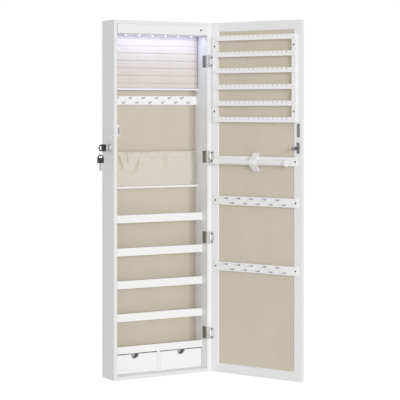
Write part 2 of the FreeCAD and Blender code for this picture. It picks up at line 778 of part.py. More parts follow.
def front_rail(low, tall):
    """Upright strip along a shelf's front."""
    y_to = FRONT_RAIL_Y + FRONT_RAIL_THICK
    return eased(block(-INNER, INNER, FRONT_RAIL_Y, y_to, low, low + tall), X_AXIS)


# ---------------------------------------------------------------- drawers
def drawer_spans():
    """Each drawer's x from and to, left one first."""
    near = DIVIDER / 2 + DRAWER_CLEAR
    far = INNER - DRAWER_CLEAR
    return (-far, DIVIDER_X - near), (DIVIDER_X + near, far)


def drawer_front(x_from, x_to):
    """Drawer front with a half-round finger notch in its top edge."""
    y_to = DRAWER_FRONT_Y + DRAWER_FRONT_THICK
    board = eased(block(x_from, x_to, DRAWER_FRONT_Y, y_to, BOARD + DRAWER_FLOAT, DRAWER_HIGH))
    start = Vector((x_from + x_to) / 2, DRAWER_FRONT_Y - 1, DRAWER_HIGH)
    return board.cut(Part.makeCylinder(NOTCH, DRAWER_FRONT_THICK + 2, start, Y_AXIS))


def drawer_box(x_from, x_to):
    """Two sides, a back and a floor behind the front."""
    side = DRAWER_SIDE
    y_from = DRAWER_FRONT_Y + DRAWER_FRONT_THICK
    y_to = LINING_FRONT - DRAWER_BEHIND
    low = BOARD + DRAWER_FLOAT
    high = low + DRAWER_SIDE_TALL
    deck = low + DRAWER_FLOOR
    return [
        block(x_from, x_from + side, y_from, y_to, deck, high),
        block(x_to - side, x_to, y_from, y_to, deck, high),
        block(x_from + side, x_to - side, y_to - side, y_to, deck, high),
        block(x_from, x_to, y_from, y_to, low, deck),
    ]


def drawer_divider():
    """Upright board between the drawers."""
    half = DIVIDER / 2
    board = block(DIVIDER_X - half, DIVIDER_X + half, DRAWER_FRONT_Y, LINING_FRONT, BOARD,
                  DRAWER_TOP_LOW)
    return eased(board, Z_AXIS)


# ---------------------------------------------------------------- hinges
def knuckle(low, high, bore):
    """Hollow barrel about the pin between two heights."""
    at = Vector(PIVOT.x, PIVOT.y, low)
    tube = Part.makeCylinder(KNUCKLE, high - low, at, Z_AXIS)
    return tube.cut(Part.makeCylinder(bore, high - low, at, Z_AXIS))


def pin_way(low, high, radius):
    """Cylinder about the pin's axis, to cut a leaf back from a knuckle."""
    return Part.makeCylinder(radius, high - low, Vector(PIVOT.x, PIVOT.y, low), Z_AXIS)


def hinge_leaf_cabinet(middle):
    """Leaf on the panel's inner face that wraps round its front edge to two knuckles."""
    low = middle - HINGE_TALL / 2
    high = middle + HINGE_TALL / 2
    inner_x = INNER - LEAF
    side = block(inner_x, INNER, FRONT - LEAF, FRONT + LEAF_DEEP, low, high)
    wrap = block(inner_x, PIVOT.x, FRONT - LEAF, FRONT, low, high)
    bent = side.fuse(wrap).removeSplitter()
    outer = [e for e in bent.Edges if is_along(e, Z_AXIS)
             and abs(e.firstVertex().X - inner_x) < 1e-6 and e.firstVertex().Y < FRONT - LEAF / 2]
    bent = bent.makeFillet(LEAF - 0.1, outer)
    tips = [e for e in bent.Edges if is_along(e, X_AXIS)
            and abs(e.firstVertex().Y - FRONT - LEAF_DEEP) < 1e-6]
    bent = bent.makeFillet(LEAF / 2 - 0.1, tips)
    first = low + KNUCKLE_SHARE
    second = high - KNUCKLE_SHARE
    bore = PIN + PIN_TIGHT
    back = KNUCKLE + KNUCKLE_ROOM
    leaf = bent.cut(pin_way(low, high, bore))
    leaf = leaf.cut(pin_way(first, second, back))
    leaf = leaf.cut(block(PIVOT.x - back, PIVOT.x + 1, FRONT - 5, FRONT + 1, first, second))
    leaf = joined([leaf, knuckle(low, first, bore), knuckle(second, high, bore)])
    return drilled(leaf, hinge_cabinet_screws())


def hinge_leaf_door(middle):
    """Flat leaf on the door with the middle knuckle."""
    low = middle - HINGE_TALL / 2
    high = middle + HINGE_TALL / 2
    first = low + KNUCKLE_SHARE + KNUCKLE_GAP
    second = high - KNUCKLE_SHARE - KNUCKLE_GAP
    plate = block(PIVOT.x - LEAF_DOOR, PIVOT.x, DOOR_IN, DOOR_IN + LEAF, low, high)
    corners = [e for e in plate.Edges if is_along(e, Y_AXIS) and e.firstVertex().X < PIVOT.x - 1]
    plate = plate.makeFillet(LEAF_CORNER, corners)
    bore = PIN + PIN_RUNNING
    plate = plate.cut(pin_way(first, second, bore))
    back = PIVOT.x - KNUCKLE - KNUCKLE_ROOM
    for start, end in ((low - 1, first), (second, high + 1)):
        plate = plate.cut(block(back, PIVOT.x + 1, DOOR_IN - 1, DOOR_IN + LEAF + 1, start, end))
    leaf = joined([plate, knuckle(first, second, bore)])
    return drilled(leaf, hinge_door_screws())


def hinge_pin(middle):
    """Steel pin through the three knuckles."""
    low = middle - HINGE_TALL / 2 - PIN_PROUD
    return Part.makeCylinder(PIN, HINGE_TALL + 2 * PIN_PROUD, Vector(PIVOT.x, PIVOT.y, low), Z_AXIS)


# ---------------------------------------------------------------- magnetic catch
def magnet_space():
    """The magnet's own box in the front of the catch."""
    x = -INNER + CATCH_BODY / 2
    y = FRONT - CATCH_PROUD
    return block(x - MAGNET_WIDE / 2, x + MAGNET_WIDE / 2, y, y + MAGNET_DEEP,
                 CATCH_Z - MAGNET_TALL / 2, CATCH_Z + MAGNET_TALL / 2)


def catch_housing():
    """Moulded catch: a flange for two screws and a taller body in the middle."""
    y_from = FRONT - CATCH_PROUD
    y_to = y_from + CATCH_DEEP
    tall = CATCH_TALL / 2
    body = CATCH_BODY_TALL / 2
    flange = eased(block(-INNER, -INNER + CATCH_FLANGE, y_from, y_to, CATCH_Z - tall, CATCH_Z + tall),
                   X_AXIS, radius=CATCH_CORNER)
    core = eased(block(-INNER, -INNER + CATCH_BODY, y_from, y_to, CATCH_Z - body, CATCH_Z + body),
                 X_AXIS, Z_AXIS, radius=CATCH_EASE)
    return drilled(joined([flange, core]).cut(magnet_space()), catch_screws())


def catch_strike():
    """Steel plate on the door that the magnet holds."""
    wide = STRIKE_WIDE / 2
    tall = STRIKE_TALL / 2
    plate = block(STRIKE_X - wide, STRIKE_X + wide, DOOR_IN, DOOR_IN + STRIKE_THICK,
                  STRIKE_Z - tall, STRIKE_Z + tall)
    return drilled(eased(plate, Y_AXIS, radius=STRIKE_CORNER), door_fitting_screws())


# ---------------------------------------------------------------- lock
def lock_point(x, up=0.0):
    """A point on the lock's axis, or above it."""
    return Vector(x, LOCK_Y, LOCK_Z + up)


def lock_barrel():
    """Fixed body: a collar outside and a barrel through the panel."""
    face_x = -HALF - COLLAR_PROUD
    collar = Part.makeCylinder(COLLAR, COLLAR_PROUD, lock_point(face_x), X_AXIS)
    rim = [e for e in collar.Edges if e.Curve.TypeId == "Part::GeomCircle"
           and abs(e.BoundBox.XMin - face_x) < 1e-6]
    collar = collar.makeFillet(COLLAR_EASE, rim)
    barrel = Part.makeCylinder(BARREL, BARREL_END + HALF, lock_point(-HALF), X_AXIS)
    bore = Part.makeCylinder(PLUG + PLUG_RUNNING, 40, lock_point(face_x - 1), X_AXIS)
    return joined([collar, barrel]).cut(bore)


def lock_nut():
    """Hexagon nut on the barrel, inside the panel."""
    corner = NUT_ACROSS / math.cos(math.pi / 6)
    turns = [math.pi / 3 * n for n in range(6)]
    outline = [
        Vector(-INNER, LOCK_Y + corner * math.cos(t), LOCK_Z + corner * math.sin(t)) for t in turns
    ]
    nut = flat(outline, X_AXIS * NUT_THICK)
    return nut.cut(Part.makeCylinder(BARREL + CLEAR, 10, lock_point(-INNER - 1), X_AXIS))


def lock_plug():
    """Turning core with the keyway and the cam screw's hole."""
    face_x = -HALF - COLLAR_PROUD - PLUG_PROUD
    end_x = BARREL_END + PLUG_PROUD
    plug = Part.makeCylinder(PLUG, end_x - face_x, lock_point(face_x), X_AXIS)
    blade_end = -HALF - BOW_FROM_PANEL + BLADE_LONG
    wide = BLADE_THICK / 2 + KEYWAY_ROOM
    tall = BLADE_HALF + KEYWAY_ROOM
    keyway = block(face_x - 1, blade_end + 0.5, LOCK_Y - wide, LOCK_Y + wide, LOCK_Z - tall,
                   LOCK_Z + tall)
    deep = CAM_SCREW_LONG - CAM_THICK + 0.1
    hole = Part.makeCylinder(CAM_SCREW + CLEAR, deep + 1, lock_point(end_x - deep), X_AXIS)
    return plug.cut(keyway).cut(hole)


def lock_cam():
    """Cam plate with a pin that drops into the hook on the door."""
    x = BARREL_END + PLUG_PROUD
    hub = Part.makeCylinder(CAM_HUB, CAM_THICK, lock_point(x), X_AXIS)
    end = Part.makeCylinder(CAM_WIDE, CAM_THICK, lock_point(x, CAM_PIN_OUT), X_AXIS)
    arm = block(x, x + CAM_THICK, LOCK_Y - CAM_WIDE, LOCK_Y + CAM_WIDE, LOCK_Z, LOCK_Z + CAM_PIN_OUT)
    pin = Part.makeCylinder(CAM_PIN, CAM_THICK + CAM_PIN_LONG, lock_point(x, CAM_PIN_OUT), X_AXIS)
    cam = joined([hub, end, arm, pin])
    return cam.cut(Part.makeCylinder(CAM_SCREW + CLEAR, CAM_THICK + 2, lock_point(x - 1), X_AXIS))


def cam_screw():
    """Pan-head screw that holds the cam on the plug."""
    x = BARREL_END + PLUG_PROUD + CAM_THICK
    face_x = x + CAM_SCREW_HEAD_THICK
    head = Part.makeCylinder(CAM_SCREW_HEAD, CAM_SCREW_HEAD_THICK, lock_point(x), X_AXIS)
    rim = [e for e in head.Edges if abs(e.BoundBox.XMin - face_x) < 1e-6]
    head = head.makeFillet(CAM_SCREW_HEAD_EASE, rim)
    long, wide, deep = CAM_SCREW_SLOT
    slot = block(face_x - deep, face_x + 1, LOCK_Y - long / 2, LOCK_Y + long / 2,
                 LOCK_Z - wide / 2, LOCK_Z + wide / 2)
    shank = Part.makeCylinder(CAM_SCREW, CAM_SCREW_LONG, lock_point(x - CAM_SCREW_LONG), X_AXIS)
    return joined([head.cut(slot), shank])


def lock_hook():
    """Hook on the door: a foot with two screws and a tongue with a curved notch for the cam's pin."""
    foot_x = hook_foot_x()
    foot = block(foot_x - HOOK_FOOT_WIDE / 2, foot_x + HOOK_FOOT_WIDE / 2, DOOR_IN,
                 DOOR_IN + HOOK_FOOT_THICK, LOCK_Z - HOOK_FOOT_TALL / 2, LOCK_Z + HOOK_FOOT_TALL / 2)
    foot = eased(foot, Y_AXIS, radius=HOOK_FOOT_CORNER)
    low = LOCK_Z - HOOK_TONGUE_TALL / 2 - HOOK_TONGUE_DOWN
    tongue = block(HOOK_TONGUE_X, HOOK_TONGUE_X + HOOK_TONGUE, DOOR_IN, DOOR_IN + HOOK_TONGUE_LONG,
                   low, low + HOOK_TONGUE_TALL)
    tip = [e for e in tongue.Edges if is_along(e, X_AXIS) and e.firstVertex().Y > DOOR_IN + 1]
    tongue = tongue.makeFillet(HOOK_TONGUE_CORNER, tip)
    start = lock_point(HOOK_TONGUE_X - 1)
    outer = Part.makeCylinder(CAM_PIN_OUT + HOOK_NOTCH, HOOK_TONGUE + 2, start, X_AXIS)
    inner = Part.makeCylinder(CAM_PIN_OUT - HOOK_NOTCH, HOOK_TONGUE + 2, start, X_AXIS)
    quarter = block(HOOK_TONGUE_X - 1, HOOK_TONGUE_X + HOOK_TONGUE + 1, LOCK_Y - 20, LOCK_Y,
                    LOCK_Z, LOCK_Z + 20)
    path = outer.cut(inner).common(quarter)
    end = Part.makeCylinder(HOOK_NOTCH, HOOK_TONGUE + 2, start - Y_AXIS * CAM_PIN_OUT, X_AXIS)
    hooked = joined([foot, tongue]).cut(path).cut(end)
    return drilled(hooked, door_fitting_screws())


# ---------------------------------------------------------------- keys
def key_shape():
    """Key in the XZ plane: bow tip at the origin, blade pointing to +X."""
    bow = block(BOW_HALF, BOW_LONG, -BOW_THICK / 2, BOW_THICK / 2, -BOW_HALF, BOW_HALF)
    round_end = Part.makeCylinder(BOW_HALF, BOW_THICK, Vector(BOW_HALF, -BOW_THICK / 2, 0), Y_AXIS)
    bow = joined([bow, round_end])
    slot = block(SLOT_FROM_TIP - SLOT_WIDE / 2, SLOT_FROM_TIP + SLOT_WIDE / 2, -BOW_THICK, BOW_THICK,
                 -SLOT_LONG / 2, SLOT_LONG / 2)
    bow = bow.cut(eased(slot, Y_AXIS, radius=SLOT_CORNER))
    rims = [e for e in bow.Edges if abs(abs(e.BoundBox.YMin) - BOW_THICK / 2) < 1e-6
            and abs(e.BoundBox.YMax - e.BoundBox.YMin) < 1e-6]
    bow = bow.makeFillet(BOW_EASE, rims)
    tip = BOW_LONG + BLADE_LONG
    blade = block(BOW_LONG, tip, -BLADE_THICK / 2, BLADE_THICK / 2, -BLADE_HALF, BLADE_HALF)
    point = [e for e in blade.Edges if is_along(e, Y_AXIS) and e.firstVertex().X > BOW_LONG + 1]
    blade = blade.makeChamfer(BLADE_POINT, point)
    blade = blade.cut(block(BOW_LONG + GROOVE_FROM_BOW, tip + 1, -BLADE_THICK,
                            -BLADE_THICK / 2 + GROOVE_DEEP, -GROOVE_HALF, GROOVE_HALF))
    for n in range(TEETH):
        x = BOW_LONG + TOOTH_FROM_BOW + n * TOOTH_PITCH
        high = BLADE_HALF + 0.1
        corners = [(x - TOOTH_HALF, high), (x + TOOTH_HALF, high), (x, BLADE_HALF - TOOTH_HALF)]
        tooth = flat([Vector(cx, -BLADE_THICK, cz) for cx, cz in corners], Y_AXIS * 2 * BLADE_THICK)
        blade = blade.cut(tooth)
    return joined([bow, blade])


def key():
    """Key in the lock."""
    shape = key_shape()
    shape.translate(lock_point(-HALF - BOW_FROM_PANEL - BOW_LONG))
    return shape


def ring_middle():
    """Middle of the key ring, hanging in the end of the key's slot."""
    x = -HALF - BOW_FROM_PANEL - BOW_LONG + SLOT_FROM_TIP
    top_wire = LOCK_Z - SLOT_LONG / 2 + RING_WIRE + RING_SLACK
    return Vector(x, LOCK_Y, top_wire - RING)


def key_ring():
    """Wire ring in the YZ plane, through both keys."""
    return Part.makeTorus(RING, RING_WIRE, ring_middle(), X_AXIS)


def spare_key():
    """Second key, hanging from the ring with its blade down."""
    shape = key_shape()
    shape.rotate(Vector(0, 0, 0), Y_AXIS, 90)
    middle = ring_middle()
    slot_top = middle.z - RING + RING_WIRE + 0.3
    tip = slot_top - SLOT_WIDE / 2 + SLOT_FROM_TIP
    shape.translate(Vector(middle.x, middle.y, tip))
    return shape


# ---------------------------------------------------------------- door
def sandwich(from_out, thick, spare=0.0):
    """A board in the door frame's groove, from a depth behind the outer face."""
    out = OPENING_HALF + GROOVE + spare
    y = DOOR_OUT + from_out
    return block(-out, out, y - spare, y + thick + spare, OPENING_LOW - GROOVE - spare,
                 OPENING_HIGH + GROOVE + spare)


def bevel_cut(y_face, inward):
    """Sloping cut round the opening, widest at a face."""
    def ring(grow, y):
        x = OPENING_HALF + grow
        corners = [(-x, OPENING_LOW - grow), (x, OPENING_LOW - grow),
                   (x, OPENING_HIGH + grow), (-x, OPENING_HIGH + grow)]
        points = [Vector(cx, y, cz) for cx, cz in corners]
        return Part.makePolygon(points + points[:1])
    over = 0.5
    wide = ring(FRAME_BEVEL + over, y_face - inward * over)
    narrow = ring(0.0, y_face + inward * FRAME_BEVEL)
    return Part.makeLoft([wide, narrow], True, True)


def framed(board, sites):
    """A stile or rail with the groove, the bevels and its screw holes."""
    thick = GLASS + BACKING + DOOR_LINING
    board = board.cut(sandwich(GLASS_BEHIND, thick + CUSHION_CLEAR, GROOVE_SPARE))
    board = board.cut(bevel_cut(DOOR_IN, -1)).cut(bevel_cut(DOOR_OUT, 1))
    box = board.BoundBox
    held = [(at, way, length) for at, way, length in sites if box.isInside(at + way * (length - 1))]
    return drilled(board, held)


def door_stile(side):
    """Upright of the door frame, full height."""
    x_from, x_to = sorted((side * OPENING_HALF, side * DOOR_HALF))
    board = eased(block(x_from, x_to, DOOR_OUT, DOOR_IN, DOOR_LOW, DOOR_HIGH))
    return framed(board, hinge_door_screws() + door_fitting_screws())


def door_rail(low):
    """Cross piece of the door frame, between the stiles."""
    board = block(-OPENING_HALF, OPENING_HALF, DOOR_OUT, DOOR_IN, low, low + FRAME_WIDTH)
    return framed(eased(board, X_AXIS), [])


def mirror_glass():
    """Mirror, a little behind the frame's outer face."""
    return sandwich(GLASS_BEHIND, GLASS)


def mirror_backing():
    """Hardboard behind the mirror."""
    return sandwich(GLASS_BEHIND + GLASS, BACKING)


def door_lining():
    """Fabric-covered board on the door's inside."""
    return sandwich(GLASS_BEHIND + GLASS + BACKING, DOOR_LINING)


# ---------------------------------------------------------------- earring rack
def rack_upright(side):
    """Upright that carries the bars."""
    x_from, x_to = sorted((side * UPRIGHT_IN, side * UPRIGHT_OUT))
    board = eased(block(x_from, x_to, DOOR_IN, DOOR_IN + UPRIGHT_DEEP, RACK_LOW, RACK_HIGH))
    return drilled(board, door_fitting_screws())


def earring_bar(high):
    """Thin bar with earring slots in its top edge."""
    y_from = DOOR_IN + UPRIGHT_DEEP
    bar = eased(block(-BAR_HALF, BAR_HALF, y_from, y_from + BAR_THICK, high - BAR_TALL, high))
    half = SLOT_OPEN / 2
    for out in spread(SLOT_COUNT, SLOT_PITCH):
        x = SLOTS_X + out
        bar = bar.cut(block(x - half, x + half, y_from - 1, y_from + BAR_THICK + 1, high - SLOT_DEEP,
                            high + 1))
    return bar


def earring_bars():
    """The rack's bars, from the top down."""
    return [earring_bar(RACK_HIGH - n * BAR_PITCH) for n in range(BAR_COUNT)]


# ---------------------------------------------------------------- bracelet bar
def bracelet_strip():
    """Strip across the door behind the bracelet bar."""
    half = STRIP_TALL / 2
    board = eased(block(-STRIP_HALF, STRIP_HALF, DOOR_IN, DOOR_IN + STRIP_THICK, STRIP_Z - half,
                        STRIP_Z + half))
    return drilled(board, door_fitting_screws())


def bracelet_bar():
    """Round bar with a bell-shaped knob and a collar at each end, one turned profile about X."""
    right = [Vector(BAR_TO - inward, 0, radius) for inward, radius in KNOB_STEPS]
    left = [Vector(BAR_FROM + inward, 0, radius) for inward, radius in reversed(KNOB_STEPS)]
    ends = [Vector(BAR_FROM, 0, 0), Vector(BAR_TO, 0, 0)]
    wire = Part.makePolygon(right + left + ends + right[:1])
    bar = Part.Face(wire).revolve(Vector(0, 0, 0), X_AXIS, 360)
    bar.translate(Vector(0, DOOR_IN + BAR_OUT, BAR_Z))
    return bar


def bracket_profile(x):
    """Side outline of the bracket: two splayed legs, from above the bar round its front."""
    y_foot = DOOR_IN - LINING_BEHIND
    y_bar = DOOR_IN + BAR_OUT
    y_edge = y_foot + BRACKET_FOOT_DEEP
    out, nose = BRACKET_NOSE
    foot = BRACKET_FOOT
    heel = foot - BRACKET_LEG
    outline = [(y_foot, foot), (y_foot, heel), (y_bar - BRACKET_RING, 0.0), (y_foot, -heel),
               (y_foot, -foot), (y_edge, -foot), (y_bar + out, -nose), (y_bar + out, nose),
               (y_edge, foot)]
    return [Vector(x, y, BAR_Z + z) for y, z in outline]


def bracelet_bracket():
    """Splayed bracket that stands on the door lining over the strip and grips the bar."""
    x_from = BRACKET_X - BRACKET_HALF
    wide = 2 * BRACKET_HALF
    legs = flat(bracket_profile(x_from), X_AXIS * wide)
    start = Vector(x_from, DOOR_IN + BAR_OUT, BAR_Z)
    ring = Part.makeCylinder(BRACKET_RING, wide, start, X_AXIS)
    solid = joined([legs, ring])
    bore = Part.makeCylinder(BAR_ROUND + CLEAR, wide + 2, start - X_AXIS, X_AXIS)
    half = STRIP_TALL / 2 + STRIP_ROOM
    strip_way = block(x_from - 1, x_from + wide + 1, DOOR_IN - 4, DOOR_IN + STRIP_THICK + STRIP_ROOM,
                      STRIP_Z - half, STRIP_Z + half)
    return solid.cut(bore).cut(strip_way)


# ---------------------------------------------------------------- all of it
def cabinet_parts():
    """Nodes that stay with the cabinet."""
    sites = hook_sites(CABINET_HOOKS, CABINET_HOOK_PITCH, 0.0, CABINET_HOOK_RAIL_Z, 1)
    rail_y = LINING_FRONT - HOOK_RAIL_THICK
    rail = hook_rail(-INNER, INNER, rail_y, CABINET_HOOK_RAIL_Z)
    lows = SHELF_LOWS + (DRAWER_TOP_LOW,)
    rails = [front_rail(low, FRONT_RAIL_TALL) for low in SHELF_LOWS]
    rails.append(front_rail(DRAWER_TOP_LOW, LOWEST_RAIL_TALL))
    return {
        "side_panel_left": [side_panel_left()],
        "side_panel_right": [side_panel_right()],
        "top_panel": [end_panel(TOP_UNDERSIDE)],
        "bottom_panel": [end_panel(0.0)],
        "dowels": dowels(),
        "back_panel": [back_panel()],
        "back_lining": [back_lining()],
        "hanging_rail": [hanging_rail()],
        "hanger_plates": hanger_plates(),
        "header_board": [header_board()],
        "light_sensor": [light_sensor()],
        "light_housing": [light_housing()],
        "light_cover": [light_cover()],
        "light_board": [light_board()],
        "light_lamps": light_lamps(),
        "batteries": cells(),
        "ring_cushion": [ring_cushion()],
        "ring_shelf": [ring_shelf()],
        "cabinet_hook_rail": [with_hook_holes(rail, sites, rail_y, Y_AXIS)],
        "cabinet_hooks": hooks_facing(sites, rail_y, -1),
        "pocket": [pocket()],
        "pocket_ledge": [pocket_ledge()],
        "shelf_boards": [shelf_board(low) for low in lows],
        "shelf_front_rails": rails,
        "drawer_divider": [drawer_divider()],
        "hinge_leaves_cabinet": [hinge_leaf_cabinet(z) for z in HINGE_HEIGHTS],
        "hinge_pins": [hinge_pin(z) for z in HINGE_HEIGHTS],
        "cabinet_screws": screws_at(hinge_cabinet_screws() + catch_screws() + hanger_screws()),
        "catch_housing": [catch_housing()],
        "catch_magnet": [magnet_space()],
        "lock_barrel": [lock_barrel()],
        "lock_nut": [lock_nut()],
    }


def moving_parts():
    """Nodes of the lock, the keys and the drawers."""
    nodes = {
        "lock_plug": [lock_plug()],
        "lock_cam": [lock_cam()],
        "lock_cam_screw": [cam_screw()],
        "key": [key()],
        "key_ring": [key_ring()],
        "spare_key": [spare_key()],
    }
    for name, (x_from, x_to) in zip(("left", "right"), drawer_spans()):
        nodes[f"drawer_{name}_front"] = [drawer_front(x_from, x_to)]
        nodes[f"drawer_{name}_box"] = drawer_box(x_from, x_to)
    return nodes


def door_parts():
    """Nodes that swing with the door, drawn closed."""
    face = DOOR_IN + HOOK_RAIL_THICK
    rails, hooks = [], []
    for z in DOOR_RAIL_HEIGHTS:
        sites = hook_sites(DOOR_HOOKS, DOOR_HOOK_PITCH, DOOR_HOOKS_X, z, -1)
        rail = hook_rail(DOOR_RAIL_X - DOOR_RAIL_HALF, DOOR_RAIL_X + DOOR_RAIL_HALF, DOOR_IN, z)
        rail = drilled(rail, door_fitting_screws())
        rails.append(with_hook_holes(rail, sites, face, -Y_AXIS))
        hooks += hooks_facing(sites, face, 1)
    return {
        "door_stile_hinge_side": [door_stile(1)],
        "door_stile_lock_side": [door_stile(-1)],
        "door_rail_top": [door_rail(OPENING_HIGH)],
        "door_rail_bottom": [door_rail(DOOR_LOW)],
        "mirror_glass": [mirror_glass()],
        "mirror_backing": [mirror_backing()],
        "door_lining": [door_lining()],
        "hinge_leaves_door": [hinge_leaf_door(z) for z in HINGE_HEIGHTS],
        "door_screws": screws_at(hinge_door_screws() + door_fitting_screws()),
        "catch_strike": [catch_strike()],
        "lock_hook": [lock_hook()],
        "rack_uprights": [rack_upright(side) for side in (-1, 1)],
        "earring_bars": earring_bars(),
        "bracelet_strip": [bracelet_strip()],
        "bracelet_bracket": [bracelet_bracket()],
        "bracelet_bar": [bracelet_bar()],
        "door_hook_rails": rails,
        "door_hooks": hooks,
    }


def save(name, solids):
    """Write one node, and say its size and whether it is sound."""
    shape = solids[0] if len(solids) == 1 else Part.makeCompound(solids)
    box = shape.BoundBox
    sound = all(s.isValid() and len(s.Solids) == 1 for s in solids)
    print(f"{name:24s} solids {len(shape.Solids):3d} sound {sound} volume {shape.Volume / 1000:9.2f} cm3 "
          f"x {box.XMin:8.2f} {box.XMax:8.2f} y {box.YMin:8.2f} {box.YMax:8.2f} "
          f"z {box.ZMin:8.2f} {box.ZMax:8.2f}")
    shape.exportStep(f"parts/{name}.step")


def main():
    """Build and save every node."""
    os.makedirs("parts", exist_ok=True)
    nodes = {**cabinet_parts(), **moving_parts()}
    for name, solids in door_parts().items():
        nodes[name] = [swung(solid) for solid in solids]
    for name, solids in nodes.items():
        save(name, solids)
    print(len(nodes), "nodes")


main()
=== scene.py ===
"""Visual model of a wall-hung jewelry mirror cabinet, standing open.

Lengths are metres in the cabinet's own frame: +X right, +Y towards the wall, +Z up, origin at the
foot of the back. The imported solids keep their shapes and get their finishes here. The cloth pocket
and the ring cushion are built anew, with the small trim that the solids leave out.
"""
from __future__ import annotations

import json
import logging
import math
from dataclasses import dataclass, field
from enum import Enum
from typing import Callable, Sequence

import bmesh
import bpy
import numpy as np
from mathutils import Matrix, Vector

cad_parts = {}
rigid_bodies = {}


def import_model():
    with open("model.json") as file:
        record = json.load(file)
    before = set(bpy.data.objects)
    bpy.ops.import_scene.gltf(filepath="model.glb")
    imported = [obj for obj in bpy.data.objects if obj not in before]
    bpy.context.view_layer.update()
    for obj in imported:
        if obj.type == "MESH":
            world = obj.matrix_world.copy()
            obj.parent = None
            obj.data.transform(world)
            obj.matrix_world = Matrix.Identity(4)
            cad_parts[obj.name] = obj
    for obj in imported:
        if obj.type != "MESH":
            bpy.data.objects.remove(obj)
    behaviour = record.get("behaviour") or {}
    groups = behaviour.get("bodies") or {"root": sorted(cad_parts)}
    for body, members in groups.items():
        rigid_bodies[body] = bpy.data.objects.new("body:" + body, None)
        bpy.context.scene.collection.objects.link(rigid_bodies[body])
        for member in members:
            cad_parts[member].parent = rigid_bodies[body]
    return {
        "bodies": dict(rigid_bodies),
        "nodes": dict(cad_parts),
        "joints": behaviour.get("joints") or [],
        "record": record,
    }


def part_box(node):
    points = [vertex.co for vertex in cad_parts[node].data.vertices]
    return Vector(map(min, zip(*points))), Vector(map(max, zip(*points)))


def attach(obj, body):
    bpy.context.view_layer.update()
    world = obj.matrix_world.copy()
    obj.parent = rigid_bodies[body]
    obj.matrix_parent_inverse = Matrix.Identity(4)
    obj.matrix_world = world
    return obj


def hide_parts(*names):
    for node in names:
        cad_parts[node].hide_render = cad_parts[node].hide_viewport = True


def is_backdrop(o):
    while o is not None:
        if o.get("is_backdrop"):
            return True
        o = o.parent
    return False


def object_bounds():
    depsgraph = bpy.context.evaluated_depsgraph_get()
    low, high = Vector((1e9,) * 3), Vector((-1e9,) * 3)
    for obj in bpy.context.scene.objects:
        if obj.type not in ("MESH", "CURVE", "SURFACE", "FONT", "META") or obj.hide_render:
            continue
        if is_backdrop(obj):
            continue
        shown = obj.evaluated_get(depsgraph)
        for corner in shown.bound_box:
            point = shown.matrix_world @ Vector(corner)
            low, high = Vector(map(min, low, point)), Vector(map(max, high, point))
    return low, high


LOG = logging.getLogger("jewelry_cabinet")
MM = 0.001
Span = tuple[float, float]
Triple = tuple[float, float, float]
Colour = Triple
Socket = bpy.types.NodeSocket
# Painted corner shade on the cloths: how dark it gets, and how much of it shows.
CORNER_SHADE = 0.62
CORNER_SHADE_SHARE = 0.85


# ---------------------------------------------------------------- shader building
class Pattern(Enum):
    """Where a pattern takes its place from."""

    OBJECT = "Object"
    CLOTH = "UV"


